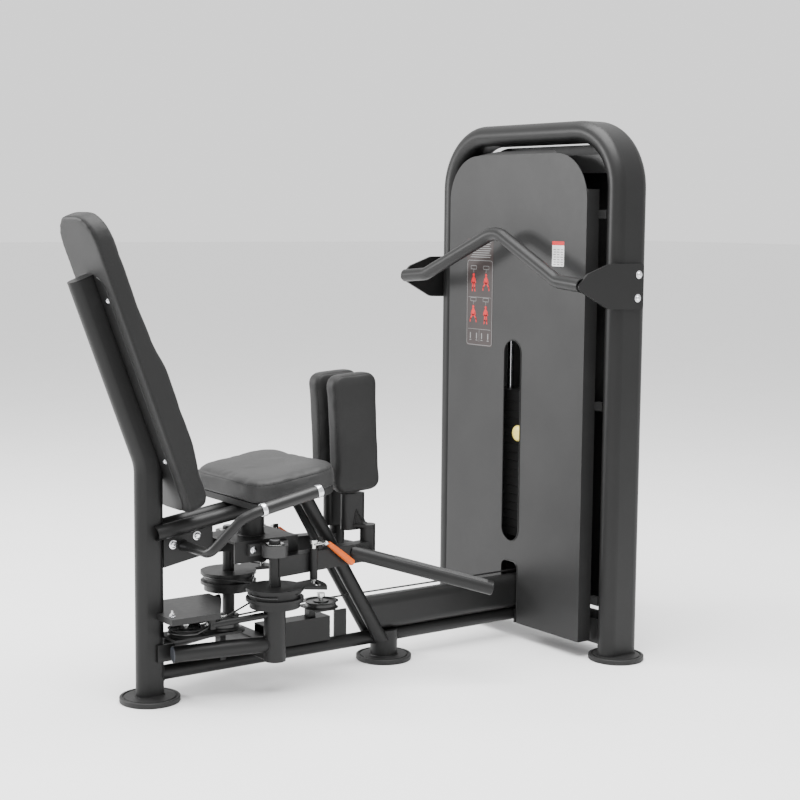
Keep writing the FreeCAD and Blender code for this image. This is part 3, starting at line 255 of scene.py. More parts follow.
@dataclass(frozen=True)
class PowderCoat(Finish):
    """Baked powder paint: fine orange peel, slow clouding and a little dust on what faces up."""

    peel: float = 0.00006
    dust: float = 0.35

    def dress(self, graph: Graph) -> None:
        """Builds the shader."""
        place = graph.place()
        cloud = graph.noise(place, 7.0, 3.0)
        speck = graph.noise(place, 1400.0, 1.0)
        paint = graph.blend((cloud * 0.7 + speck * 0.3).step(0.3, 0.72), self.shade(0.84), self.shade(1.14))
        patches = graph.noise(place, 24.0, 4.0, 0.6).step(0.38, 0.8)
        film = graph.facing_up().step(0.55, 1.0) * patches * self.dust
        graph.surface(Base_Color=graph.blend(film, paint, self.shade(2.3)), Specular_IOR_Level=0.26,
                      Roughness=(self.roughness - 0.05) + graph.noise(place, 60.0, 3.0) * 0.10 + film * 0.15)
        graph.bump(graph.noise(place, 520.0, 2.0) * 0.7 + speck * 0.3, self.peel)


@dataclass(frozen=True)
class Vinyl(Finish):
    """Upholstery vinyl with a pebbled grain and pale specks in it."""

    grain: float = 0.0009
    wear: float = 0.12

    def dress(self, graph: Graph) -> None:
        """Builds the shader."""
        place = graph.place()
        drift = graph.noise(place, 300.0, 2.0)
        pebble = graph.cells(place, 1.0 / self.grain)
        crease = graph.cells(place, 0.62 / self.grain, "SMOOTH_F1")
        speck = graph.noise(place, 0.75 / self.grain, 1.0, 0.6)
        cloud = graph.noise(place, 5.0, 3.0)
        mottle = (speck * 0.75 + cloud * 0.25).step(0.34, 0.66)
        rubbed = cloud.step(0.45, 0.75) * self.wear
        skin = graph.blend(mottle, self.shade(0.66), self.shade(1.34))
        graph.surface(Base_Color=graph.blend(rubbed, skin, self.shade(1.9)), Specular_IOR_Level=0.22,
                      Sheen_Weight=0.04, Sheen_Roughness=0.5,
                      Roughness=self.roughness + drift * 0.10 - rubbed * 0.3)
        graph.bump(pebble * 0.6 + crease * 0.3 + speck * 0.25, 0.00028, 0.75)


@dataclass(frozen=True)
class Moulded(Finish):
    """Moulded plastic with a fine spark-eroded texture."""

    texture: float = 0.00005
    clear: float = 0.0

    def dress(self, graph: Graph) -> None:
        """Builds the shader."""
        place = graph.place()
        fine = graph.noise(place, 1900.0, 2.0, 0.7)
        cloud = graph.noise(place, 11.0, 3.0)
        graph.surface(Base_Color=graph.blend((cloud * 0.8 + fine * 0.2).step(0.35, 0.7), self.shade(0.88),
                                             self.shade(1.12)),
                      Coat_Weight=self.clear, Coat_Roughness=0.12, Specular_IOR_Level=0.3,
                      Roughness=(self.roughness - 0.05) + cloud * 0.1)
        graph.bump(fine, self.texture)


@dataclass(frozen=True)
class Rubber(Finish):
    """Black rubber, dusty on top and scuffed."""

    def dress(self, graph: Graph) -> None:
        """Builds the shader."""
        place = graph.place()
        scuff = graph.noise(graph.stretched(place, (1, 1, 5)), 90.0, 5.0, 0.65).step(0.56, 0.78)
        dust = graph.facing_up().step(0.5, 1.0) * graph.noise(place, 45.0, 4.0).step(0.35, 0.8) * 0.3
        base = graph.blend(scuff * 0.4, self.shade(0.9), self.shade(1.8))
        graph.surface(Base_Color=graph.blend(dust, base, self.shade(4.5)),
                      Roughness=self.roughness + scuff * 0.12, IOR=1.45)
        graph.bump(graph.noise(place, 1200.0, 2.0), 0.00008)


@dataclass(frozen=True)
class Plated(Finish):
    """Bright plated or polished steel with hairline scratches and a soft haze."""

    haze: float = 0.10

    def dress(self, graph: Graph) -> None:
        """Builds the shader."""
        place = graph.place()
        hair = graph.noise(graph.stretched(place, (1, 14, 1), (0.3, 0.5, 0.1)), 260.0, 3.0, 0.7)
        cloud = graph.noise(place, 80.0, 3.0)
        graph.surface(Base_Color=graph.blend(cloud.step(0.3, 0.7), self.shade(0.88), self.shade(1.04)),
                      Metallic=1.0, Roughness=self.roughness + hair.step(0.5, 0.8) * self.haze + cloud * 0.05)
        graph.bump(hair, 0.00001)


@dataclass(frozen=True)
class CastIron(Finish):
    """Painted cast iron: pitted skin with worn, brighter high spots."""

    pits: float = 0.0004

    def dress(self, graph: Graph) -> None:
        """Builds the shader."""
        place = graph.place()
        skin = graph.noise(place, 260.0, 4.0, 0.6)
        pit = graph.cells(place, 420.0).step(0.05, 0.35)
        worn = graph.noise(place, 130.0, 5.0, 0.7).step(0.6, 0.75) * 0.35
        graph.surface(Base_Color=graph.blend(worn, graph.blend(skin, self.shade(0.75), self.shade(1.25)),
                                             self.shade(3.2)),
                      Metallic=worn * 0.8, Roughness=self.roughness - worn * 0.25)
        graph.bump(skin * 0.7 + pit * 0.3, self.pits)


@dataclass(frozen=True)
class Jacket(Finish):
    """Extruded cable jacket over a laid wire rope, which shows as a faint twist."""

    def dress(self, graph: Graph) -> None:
        """Builds the shader."""
        place = graph.place()
        along = graph.axis(place, "X") + graph.axis(place, "Y") * 0.6 + graph.axis(place, "Z") * 0.8
        lay = (along * 900.0).sine()
        smear = graph.noise(place, 70.0, 4.0)
        graph.surface(Base_Color=graph.blend(smear, self.shade(0.8), self.shade(1.5)), Coat_Weight=0.3,
                      Coat_Roughness=0.25, Roughness=self.roughness + smear * 0.12)
        graph.bump(lay * 0.5 + 0.5, 0.00006)


@dataclass(frozen=True)
class Plywood(Finish):
    """Black-stained plywood: plies at the edge, long grain on the face."""

    def dress(self, graph: Graph) -> None:
        """Builds the shader."""
        place = graph.place()
        tilted = graph.stretched(place, (1, 1, 1), (0, math.radians(SEAT_SLOPE), 0))
        ply = (graph.axis(tilted, "Z") * 2200.0).sine()
        grain = graph.noise(graph.stretched(place, (14, 160, 90)), 2.0, 5.0, 0.6)
        tint = (ply * 0.25 + grain * 0.7).step(0.1, 0.75)
        graph.surface(Base_Color=graph.blend(tint, self.shade(0.7), self.shade(1.7)),
                      Roughness=self.roughness)
        graph.bump(grain, 0.00015)


@dataclass(frozen=True)
class Grit(Finish):
    """Gritty anti-slip tape: coarse grains, some of them shiny."""

    def dress(self, graph: Graph) -> None:
        """Builds the shader."""
        place = graph.place()
        grains = graph.cells(place, 900.0)
        spark = graph.noise(place, 1500.0, 1.0).step(0.58, 0.66)
        graph.surface(Base_Color=graph.blend(spark, self.shade(0.75), self.shade(2.2)),
                      Roughness=self.roughness - spark * 0.35)
        graph.bump(1.0 - grains, 0.0005)


FRAME_PAINT = PowderCoat("frame_powder_coat", "frame_paint", tone(22), 0.42)
PANEL_PAINT = PowderCoat("panel_powder_coat", "panel_paint", tone(36), 0.46, peel=0.00004, dust=0.1)
COVER_PAINT = PowderCoat("cover_powder_coat", "frame_paint", tone(34), 0.42, dust=0.5)
PAD_VINYL = Vinyl("pad_vinyl", "vinyl", tone(26), 0.5)
SEAT_VINYL = Vinyl("seat_vinyl", "vinyl_seat", tone(40), 0.48)
SEAM_THREAD = Vinyl("seam_welt", "vinyl", tone(22), 0.6, grain=0.0012, wear=0.0)
SHELL_PLASTIC = Moulded("shell_plastic", "shell_plastic", tone(25), 0.5)
GREY_PLASTIC = Moulded("grey_end_plugs", "grey_plastic", tone(56, 58, 63), 0.5)
BLACK_PLASTIC = Moulded("black_trim", "shell_plastic", tone(14), 0.4)
FOOT_RUBBER = Rubber("foot_rubber", "black_rubber", tone(18), 0.6)
GRIP_RUBBER = Rubber("hand_grip_rubber", "grip_rubber", tone(14), 0.4)
CHROME = Plated("chrome_plate", "chromed_rod", tone(228, 229, 232), 0.12)
ZINC = Plated("zinc_plate", "zinc_bolts", tone(214, 215, 214), 0.24, haze=0.16)
DARK_STEEL = Plated("dark_oiled_steel", "zinc_bolts", tone(120, 120, 122), 0.34, haze=0.2)
STACK_IRON = CastIron("stack_iron", "stack_iron", tone(24), 0.55, pits=0.00025)
BEARING_IRON = CastIron("bearing_iron", "bearing_iron", tone(40), 0.40)
CABLE_JACKET = Jacket("cable_jacket", "cable_jacket", tone(20), 0.36)
NYLON = Moulded("pulley_nylon", "pulley_nylon", tone(30), 0.34, texture=0.00003, clear=0.15)
BOARD = Plywood("stained_board", "board", tone(18), 0.7)
ORANGE_GRIP = Moulded("orange_dipped_grip", "orange_grip", tone(206, 92, 22), 0.42, texture=0.0001)
YELLOW_KNOB = Moulded("yellow_knob", "yellow_knob", tone(226, 208, 104), 0.3, texture=0.00002, clear=0.5)
TREAD = Grit("anti_slip_tape", "grip_rubber", tone(56), 0.8)
LABEL_WHITE = Moulded("label_film", "panel_paint", tone(214), 0.4, texture=0.00001)
INK_RED = Moulded("red_ink", "panel_paint", tone(190, 10, 18), 0.45, texture=0.00001)
INK_GREY = Moulded("grey_ink", "panel_paint", tone(120), 0.45, texture=0.00001)
PLACARD_FILM = Moulded("placard_film", "panel_paint", tone(46, 38, 37), 0.42, texture=0.00001)


# --- Mesh tools ---
def facing(origin: Vector, axis: Vector) -> Matrix:
    """A frame at origin whose Z runs along axis."""
    return Matrix.Translation(origin) @ Vector(axis).to_track_quat("Z", "Y").to_matrix().to_4x4()


def linked(name: str, data: bpy.types.ID) -> bpy.types.Object:
    """An object in the scene that holds the data."""
    piece = bpy.data.objects.new(name, data)
    bpy.context.scene.collection.objects.link(piece)
    return piece


def mesh_of(shape: Shape, name: str) -> bpy.types.Mesh:
    """A mesh made from an edit mesh, which is freed."""
    mesh = bpy.data.meshes.new(name)
    shape.to_mesh(mesh)
    shape.free()
    return mesh


def shape_of(mesh: bpy.types.Mesh) -> Shape:
    """An edit mesh made from a mesh."""
    shape = bmesh.new()
    shape.from_mesh(mesh)
    return shape


def put(name: str, shape: Shape, finish: Finish, body: str, stands_for: Sequence[str] = (),
        sharp: float = 38.0) -> bpy.types.Object:
    """Turns a mesh into a piece that rides on a body.

    Args:
        name: the piece's name.
        shape: its mesh, in the machine's frame; it is freed.
        finish: its finish.
        body: the body that it moves with.
        stands_for: the CAD nodes that it replaces.
        sharp: edges that turn by more than this many degrees stay crisp.

    Returns:
        The piece.
    """
    bmesh.ops.recalc_face_normals(shape, faces=shape.faces)
    mesh = mesh_of(shape, name)
    mesh.shade_smooth()
    mesh.set_sharp_from_angle(angle=math.radians(sharp))
    piece = linked(name, mesh)
    mesh.materials.append(finish.material())
    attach(piece, body)
    if stands_for:
        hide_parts(*stands_for)
    LOG.info("%s: %d faces on %s", name, len(mesh.polygons), body)
    return piece


def skin(shape: Shape, rings: Sequence[Sequence[Vector]], closed: bool = False,
         capped: bool = True) -> None:
    """Joins rings of equally many points into a skin.

    Args:
        shape: the mesh that grows.
        rings: the rings, in order.
        closed: joins the last ring to the first.
        capped: closes the two ends.
    """
    rows = [[shape.verts.new(point) for point in ring] for ring in rings]
    count = len(rows[0])
    pairs = list(zip(rows, rows[1:])) + ([(rows[-1], rows[0])] if closed else [])
    for low, high in pairs:
        for i in range(count):
            k = (i + 1) % count
            shape.faces.new((low[i], low[k], high[k], high[i]))
    if capped and not closed:
        shape.faces.new(rows[0][::-1])
        shape.faces.new(rows[-1])


def lathe(shape: Shape, profile: Sequence[tuple[float, float]], where: Matrix,
          around: int = 40, ripple: Callable[[float], float] | None = None) -> None:
    """Turns a profile about the Z axis of a frame.

    Args:
        shape: the mesh that grows.
        profile: radius and height pairs in millimetres, from one end to the other.
        where: the frame.
        around: steps of the turn.
        ripple: extra radius in millimetres for an angle, such as flutes.
    """
    rings = []
    for radius, height in profile:
        ring = []
        for i in range(around):
            turn = 2 * math.pi * i / around
            reach = max(radius + (ripple(turn) if ripple and radius > 1 else 0), 0.02)
            ring.append(where @ mm(reach * math.cos(turn), reach * math.sin(turn), height))
        rings.append(ring)
    skin(shape, rings)


def sweep(shape: Shape, path: Sequence[Vector], radius: float | Callable[[int], float],
          around: int = 10, closed: bool = False) -> None:
    """Runs a round section along a path.

    Args:
        shape: the mesh that grows.
        path: the centre line.
        radius: the section's radius in metres, or one for each point.
        around: points of the section.
        closed: joins the end to the start.
    """
    count = len(path)
    across = None
    rings = []
    for i, point in enumerate(path):
        before = path[i - 1] if closed or i else path[0]
        after = path[(i + 1) % count] if closed or i + 1 < count else path[-1]
        ahead = (after - before).normalized()
        if across is None:
            across = ahead.orthogonal().normalized()
        across = (across - ahead * across.dot(ahead)).normalized()
        up = ahead.cross(across)
        size = radius(i) if callable(radius) else radius
        rings.append([point + (across * math.cos(t) + up * math.sin(t)) * size
                      for t in (2 * math.pi * k / around for k in range(around))])
    skin(shape, rings, closed)


def slab(shape: Shape, outline: Sequence[Vector], rise: Vector) -> None:
    """A thin plate: an outline and its copy moved by rise."""
    skin(shape, [outline, [point + rise for point in outline]])


def round_box(half_u: float, low_v: float, high_v: float, radius_low: float, radius_high: float,
              inset: float = 0.0, step: float = 9.0) -> list[tuple[float, float]]:
    """Points of a rectangle with rounded corners, as many for every inset.

    Args:
        half_u: half of its width, in millimetres.
        low_v: its lower edge.
        high_v: its upper edge.
        radius_low: radius of the two lower corners.
        radius_high: radius of the two upper corners.
        inset: how far the outline is moved inwards.
        step: spacing of the points on the outline without inset.

    Returns:
        Pairs (u, v) in order round the outline.
    """
    corners = ((1, low_v, radius_low, -90), (1, high_v, radius_high, 0),
               (-1, high_v, radius_high, 90), (-1, low_v, radius_low, 180))
    points = []
    ends = []
    for sign, v, radius, start in corners:
        inner = max(radius - inset, 0.6)
        centre_u = sign * (half_u - inset - inner)
        centre_v = v + (inset + inner) * (1 if v == low_v else -1)
        steps = max(3, round(radius * math.pi / 2 / step))
        arc = [(centre_u + inner * math.cos(math.radians(start + 90 * i / steps)),
                centre_v + inner * math.sin(math.radians(start + 90 * i / steps))) for i in range(steps + 1)]
        ends.append(arc)
    lengths = (high_v - low_v - radius_low - radius_high, 2 * (half_u - radius_high),
               high_v - low_v - radius_low - radius_high, 2 * (half_u - radius_low))
    for k, arc in enumerate(ends):
        points += arc
        following = ends[(k + 1) % 4][0]
        steps = max(2, round(lengths[k] / step))
        points += [(arc[-1][0] + (following[0] - arc[-1][0]) * i / steps,
                    arc[-1][1] + (following[1] - arc[-1][1]) * i / steps) for i in range(1, steps)]
    return points


# --- Cushions ---
class Backing(Enum):
    """What is behind a cushion."""

    BOARD = "board"
    NOTHING = "nothing"


@dataclass
class Cushion:
    """A foam cushion in sewn vinyl, swollen by a cloth simulation.

    Its own frame has u across, v along and w out of the face; face(v) is the height of the face above w = 0.
    """

    name: str
    nodes: tuple[str, ...]
    body: str
    finish: Finish
    where: Matrix
    half_width: float
    low: float
    high: float
    radius_low: float
    radius_high: float
    face: Callable[[float], float]
    backing: Backing = Backing.BOARD
    back: float = 0.0
    edge: float = 15.0
    back_edge: float = 7.0
    crown: float = 5.0
    voxel: float = 5.0
    swell: float = 6.0
    fill: float = 0.75
    calm: int = 5
    seams: tuple[float, ...] = (0.62,)

    def outline(self, inset: float) -> list[tuple[float, float]]:
        """The cushion's outline, moved inwards."""
        return round_box(self.half_width, self.low, self.high, self.radius_low, self.radius_high, inset)

    def ring(self, inset: float, height: Callable[[float], float]) -> list[Vector]:
        """One ring of the skin, in the machine's frame."""
        return [self.where @ mm(u, v, height(v)) for u, v in self.outline(inset)]

    def block(self) -> bpy.types.Mesh:
        """The unsewn foam block, a little smaller than the finished cushion.

        Returns:
            Its mesh after an even remesh.
        """
        spare = self.swell * 0.55
        middle = self.half_width - 4.0
        two_sided = self.backing is Backing.NOTHING
        low_edge = self.edge if two_sided else self.back_edge
        rings = []

        def dome(inset: float) -> float:
            """Crown of the face, from none at the edge to all of it in the middle."""
            share = min(1.0, inset / middle)
            return self.crown * math.sin(share * math.pi / 2)

        deep = [middle * k / 6 for k in (6, 5, 4, 3, 2, 1)]
        if two_sided:
            rings += [self.ring(inset, lambda v, i=inset: self.back + spare - dome(i)) for inset in deep
                      if inset > low_edge]
        else:
            rings += [self.ring(inset, lambda v: self.back) for inset in deep if inset > low_edge]
        for i in range(5):
            t = math.pi / 2 * i / 4
            rings.append(self.ring(spare + low_edge * (1 - math.sin(t)),
                                   lambda v, t=t: self.back + (spare if two_sided else 0)
                                   + low_edge * (1 - math.cos(t))))
        for i in range(7):
            t = math.pi / 2 * i / 6
            rings.append(self.ring(spare + self.edge * (1 - math.cos(t)),
                                   lambda v, t=t: self.face(v) - spare - self.edge * (1 - math.sin(t))))
        rings += [self.ring(inset, lambda v, i=inset: self.face(v) - spare + dome(i))
                  for inset in reversed(deep) if inset > self.edge]
        shape = bmesh.new()
        skin(shape, rings)
        bmesh.ops.recalc_face_normals(shape, faces=shape.faces)
        return applied(mesh_of(shape, self.name + "_block"), self.remesh)

    def remesh(self, piece: bpy.types.Object) -> None:
        """Adds the remesh that makes all faces the same size."""
        modifier = piece.modifiers.new("even", "REMESH")
        modifier.mode = "VOXEL"
        modifier.voxel_size = self.voxel * MM

    def swollen(self, mesh: bpy.types.Mesh) -> None:
        """Blows the skin up by a cloth simulation and keeps each point within the swell.

        Args:
            mesh: the even mesh; its points are moved.
        """
        piece = linked(self.name + "_cloth", mesh.copy())
        cloth = piece.modifiers.new("cloth", "CLOTH")
        cloth.settings.use_pressure = True
        cloth.settings.uniform_pressure_force = 4.0
        cloth.settings.effector_weights.gravity = 0.0
        cloth.settings.tension_stiffness = 14.0
        cloth.settings.compression_stiffness = 14.0
        cloth.settings.bending_stiffness = 8.0
        cloth.point_cache.frame_start, cloth.point_cache.frame_end = 1, 20
        for step in range(1, 21):
            bpy.context.scene.frame_set(step)
        moved = piece.evaluated_get(bpy.context.evaluated_depsgraph_get()).data
        outward = self.where.to_3x3() @ UP
        base = self.where @ mm(0, 0, self.back)
        for start, end in zip(mesh.vertices, moved.vertices):
            shift = end.co - start.co
            if self.backing is Backing.BOARD:
                shift *= min(1.0, max(0.0, ((start.co - base).dot(outward) / MM - 2.0) / 10.0))
            start.co += shift * min(1.0, self.swell * MM / max(shift.length, 1e-9))
        bpy.data.objects.remove(piece)
        bpy.context.scene.frame_set(1)

    def seam_path(self, share: float, skin_tree: BVHTree) -> list[Vector]:
        """Where a seam runs on the skin.

        Args:
            share: height of the seam between back (0) and face (1).
            skin_tree: search tree of the cushion's skin.

        Returns:
            The points of the closed seam.
        """
        reach = self.half_width * 0.5
        path = []
        outer, inner = self.outline(-40.0), self.outline(reach)
        for (far_u, far_v), (near_u, near_v) in zip(outer, inner):
            v = min(max(near_v, self.low), self.high)
            height = self.back + (self.face(v) - self.back) * share
            start = self.where @ mm(far_u, far_v, height)
            target = self.where @ mm(near_u, near_v, height)
            hit = skin_tree.ray_cast(start, (target - start).normalized())[0]
            if hit is not None:
                path.append(hit)
        return path

    def build(self) -> None:
        """Makes the cushion and its seams."""
        mesh = self.block()
        self.swollen(mesh)
        shape = shape_of(mesh)
        for _ in range(self.calm):
            bmesh.ops.smooth_vert(shape, verts=shape.verts, factor=0.5, use_axis_x=True, use_axis_y=True,
                                  use_axis_z=True)
        shape.to_mesh(mesh)
        shape.free()
        mesh = applied(mesh, lambda piece: setattr(piece.modifiers.new("fine", "SUBSURF"), "levels", 1))
        paths = []
        for share in self.seams:
            shape = shape_of(mesh)
            paths.append(self.seam_path(share, BVHTree.FromBMesh(shape)))
            shape.free()
        self.pinch(mesh, paths)
        cushion = put(self.name, shape_of(mesh), self.finish, self.body, self.nodes, sharp=180.0)
        welt = bmesh.new()
        for path in paths:
            sweep(welt, path, 0.00105, 8, closed=True)
        put(self.name + "_seams", welt, SEAM_THREAD, self.body)

    @staticmethod
    def pinch(mesh: bpy.types.Mesh, paths: Sequence[Sequence[Vector]], depth: float = 0.0014,
              spread: float = 0.0042) -> None:
        """Pulls the skin in along its seams.

        Args:
            mesh: the cushion's mesh.
            paths: the seams, moved in with the skin.
            depth: how deep the crease is.
            spread: how far it reaches to each side.
        """
        points = [point for path in paths for point in path]
        tree = kdtree.KDTree(len(points))
        for i, point in enumerate(points):
            tree.insert(point, i)
        tree.balance()
        normals = [vertex.normal.copy() for vertex in mesh.vertices]
        nearest: dict[int, tuple[float, Vector]] = {}
        for vertex, normal in zip(mesh.vertices, normals):
            _, index, gap = tree.find(vertex.co)
            if gap < 3 * spread:
                if index not in nearest or gap < nearest[index][0]:
                    nearest[index] = (gap, normal)
                vertex.co -= normal * depth * math.exp(-(gap / spread) ** 2)
        for index, (_, normal) in nearest.items():
            points[index] -= normal * depth * 0.9


def applied(mesh: bpy.types.Mesh, add: Callable[[bpy.types.Object], None]) -> bpy.types.Mesh:
    """The mesh after a modifier.

    Args:
        mesh: the mesh before it; it is removed.
        add: puts the modifier on an object that holds the mesh.

    Returns:
        The new mesh.
    """
    piece = linked("work", mesh)
    add(piece)
    result = bpy.data.meshes.new_from_object(piece.evaluated_get(bpy.context.evaluated_depsgraph_get()))
    bpy.data.objects.remove(piece)
    bpy.data.meshes.remove(mesh)
    return result


def profile_height(points: Sequence[tuple[float, float]]) -> Callable[[float], float]:
    """A smooth curve through (position, height) points, as a function of position."""
    def height(v: float) -> float:
        """Height at v."""
        if v <= points[0][0]:
            return points[0][1]
        for (v0, h0), (v1, h1) in zip(points, points[1:]):
            if v <= v1:
                t = (v - v0) / (v1 - v0)
                return h0 + (h1 - h0) * t * t * (3 - 2 * t)
        return points[-1][1]
    return height


@dataclass
class Upholstery:
    """The four cushions."""

    seat_slope: float = math.radians(-SEAT_SLOPE)
    back_lean: float = math.radians(-BACK_LEAN)
    pad_lean: float = math.radians(-3.0)
    seat_top: Vector = field(default_factory=lambda: mm(-230, 0, 581))
    back_foot: Vector = field(default_factory=lambda: mm(*BACK_FOOT))
    seat_thick: float = 58.0
    pad_centre: tuple[float, float, float] = (22.0, 43.0, 652.0)

    def seat(self) -> Cushion:
        """The seat: wide and rounded at the front, square at the back."""
        turn = Matrix.Rotation(self.seat_slope, 4, "Y")
        axes = Matrix(((0, 1, 0, 0), (1, 0, 0, 0), (0, 0, 1, 0), (0, 0, 0, 1)))
        base = Matrix.Translation(mm(0, 0, -self.seat_thick))
        where = Matrix.Translation(self.seat_top) @ turn @ base @ axes
        return Cushion("seat_cushion_sewn", ("seat_cushion",), "frame", SEAT_VINYL, where, 190, -131, 131,
                       70, 75, lambda v: self.seat_thick - 1.0, edge=8, crown=4, swell=5, fill=0.8,
                       seams=(0.84,))

    def backrest(self) -> Cushion:
        """The backrest: thick at the loins, thinner to the shoulders, round at the top."""
        axes = Matrix(((0, 0, 1, 0), (1, 0, 0, 0), (0, 1, 0, 0), (0, 0, 0, 1)))
        where = Matrix.Translation(self.back_foot) @ Matrix.Rotation(self.back_lean, 4, "Y") @ axes
        face = profile_height([(-128, 55), (-60, 60), (60, 70), (235, 70), (335, 57.5), (430, 53), (672, 52)])
        plate = bmesh.new()
        skin(plate, [[where @ mm(u, v, w) for u, v in round_box(66, -118, 512, 30, 34, inset)]
                     for inset, w in ((2, 4.0), (0, 3.5), (0, 0.4), (1.2, -0.6), (14, -0.8))])
        put("backrest_back_plate", plate, SHELL_PLASTIC, "frame")
        return Cushion("backrest_cushion_sewn", ("backrest_cushion", "backrest_shell"), "frame", PAD_VINYL,
                       where, 107, -128, 672, 38, 80, face, back=1.0, edge=10, back_edge=8, crown=3,
                       voxel=6, swell=4, fill=0.8, seams=(0.1,))

    def thigh_pad(self, name: str, side: int) -> Cushion:
        """One thigh pad, crowned on both faces."""
        x, y, z = self.pad_centre
        axes = Matrix(((1, 0, 0, 0), (0, 0, 1, 0), (0, 1, 0, 0), (0, 0, 0, 1)))
        where = Matrix.Translation(mm(x, side * y - 25, z)) @ Matrix.Rotation(self.pad_lean, 4, "Y") @ axes
        return Cushion(f"thigh_pad_{name}_sewn", (f"thigh_pad_{name}",), f"pad_{name}", PAD_VINYL, where, 73,
                       -163, 165, 32, 32, lambda v: 51.0, Backing.NOTHING, back=-1.0, edge=8, crown=3.0,
                       swell=4, fill=0.85, seams=(0.14, 0.86))

    def build(self) -> None:
        """Makes the four cushions."""
        self.seat().build()
        self.backrest().build()
        for name, side in SIDES.items():
            self.thigh_pad(name, side).build()


# --- Fasteners and turned hardware ---
class Head(Enum):
    """Shapes of bolt heads."""

    DOME = "dome"
    HEX = "hex"


def hexagon(where: Matrix, radius: float, height: float = 0.0) -> list[Vector]:
    """Six corners of a hexagon at a height of a frame."""
    return [where @ mm(radius * math.cos(math.pi / 3 * k), radius * math.sin(math.pi / 3 * k), height)
            for k in range(6)]


@dataclass(frozen=True)
class Bolt:
    """A bolt head on its washer: foot point and outward axis, in the machine's frame."""

    foot: Vector
    axis: Vector
    radius: float
    tall: float
    head: Head = Head.DOME

    def add(self, shape: Shape) -> None:
        """Adds washer and head to a mesh."""
        where = facing(self.foot, self.axis)
        r, tall = self.radius, self.tall
        lathe(shape, [(r * 0.4, -0.2), (r * 1.28, -0.2), (r * 1.36, 0.2), (r * 1.36, 1.1), (r * 1.28, 1.5),
                      (r * 0.4, 1.5)], where)
        if self.head is Head.HEX:
            top = tall + 1.5
            skin(shape, [hexagon(where, r * 1.04, 1.4), hexagon(where, r * 1.06, 1.8),
                         hexagon(where, r * 1.06, top - 1.1), hexagon(where, r * 0.9, top),
                         hexagon(where, r * 0.3, top + 0.05)])
            return
        dome = [(r * math.cos(t), 1.5 + tall * 0.35 + tall * 0.65 * math.sin(t))
                for t in (math.radians(a) for a in (0, 18, 36, 52))]
        rim = dome[-1][1] + tall * 0.08
        lathe(shape, [(r * 0.5, 1.2), (r * 0.97, 1.3), (r, 2.0), *dome, (r * 0.52, rim)], where)
        up = where.to_3x3() @ UP
        ring, socket = hexagon(where, r * 0.52, rim), hexagon(where, r * 0.44)
        skin(shape, [[p + up * (rim * MM + 0.0001) for p in socket], ring, [p + up * 0.0002 for p in ring]],
             capped=False)
        skin(shape, [[p + up * (rim * MM + 0.0003) for p in socket],
                     [p + up * (rim * MM - 0.0016) for p in hexagon(where, r * 0.40)]])


@dataclass
class Hardware:
    """Bolts, nuts, end plugs and bearing rings of the frame."""

    plate_face: float = 405.0
    gusset_face: float = 24.5
    bearing_face: float = 92.0

    def bolts(self) -> Iterator[Bolt]:
        """Every bolt head of the frame."""
        lean = Matrix.Translation(mm(*BACK_FOOT)) @ Matrix.Rotation(math.radians(-BACK_LEAN), 4, "Y")
        behind = lean.to_3x3() @ Vector((-1, 0, 0))
        for side in SIDES.values():
            out = Vector((0, side, 0))
            for x, y, z, radius, tall in ((716, self.plate_face, 1079, 8.2, 6.5),
                                          (713, self.plate_face, 1015, 8.2, 6.5),
                                          (-512, self.gusset_face, 402, 8.4, 7.0),
                                          (-444, self.gusset_face, 418, 8.4, 7.0),
                                          (-317, self.bearing_face, 377, 6.6, 6.5),
                                          (-223, self.bearing_face, 377, 6.6, 6.5)):
                yield Bolt(mm(x, side * y, z), out, radius, tall)
            for along in (22, 452):
                yield Bolt(lean @ mm(-0.6, side * 54, along), behind, 6.0, 3.6)
        yield Bolt(mm(-540, -70, 229), UP, 6.4, 6.0, Head.HEX)
        yield Bolt(mm(630, -32, 58), Vector((0, -1, 0)), 6.2, 4.0)

    def build(self) -> None:
        """Makes the bolts, the plugs and the rings."""
        shape = bmesh.new()
        for bolt in self.bolts():
            bolt.add(shape)
        lathe(shape, [(3.4, 8.5), (3.4, 14.0), (3.0, 14.8), (0.2, 14.8)], facing(mm(-540, -70, 229), UP))
        put("frame_bolts_detailed", shape, CHROME, "frame", ["frame_bolts"])
        plugs = bmesh.new()
        for side in SIDES.values():
            end, inner = mm(-528, side * 52, 126), mm(-276, side * 117, 132)
            where = facing(end, end - inner)
            lathe(plugs, [(17.5, -6), (17.5, -0.3), (21.0, -0.2), (21.2, 1.2), (20.2, 2.6), (16.0, 3.2),
                          (15.0, 2.6), (0.2, 2.6)], where)
        put("side_tube_plugs", plugs, GREY_PLASTIC, "frame")
        for name, side in SIDES.items():
            rings = bmesh.new()
            lathe(rings, [(15.6, 0.1), (24.0, 0.1), (24.6, 0.6), (24.6, 2.2), (23.6, 2.9), (17.0, 2.9),
                          (15.6, 2.2)], facing(mm(PIVOT_X, side * PIVOT_Y, 392), UP))
            put(f"bearing_inner_ring_{name}", rings, ZINC, f"cam_{name}")
            collar = bmesh.new()
            top = facing(mm(PIVOT_X, side * PIVOT_Y, 402), UP)
            lathe(collar, [(9.0, 0.0), (12.5, 0.05), (12.9, 0.4), (12.9, 1.5), (12.4, 1.9), (9.4, 1.9),
                           (9.0, 1.6)], top)
            lathe(collar, [(7.6, 0.0), (7.6, 1.0), (3.0, 1.0), (1.6, 0.1), (0.2, 0.1)], top)
            put(f"shaft_end_ring_{name}", collar, DARK_STEEL, f"cam_{name}")


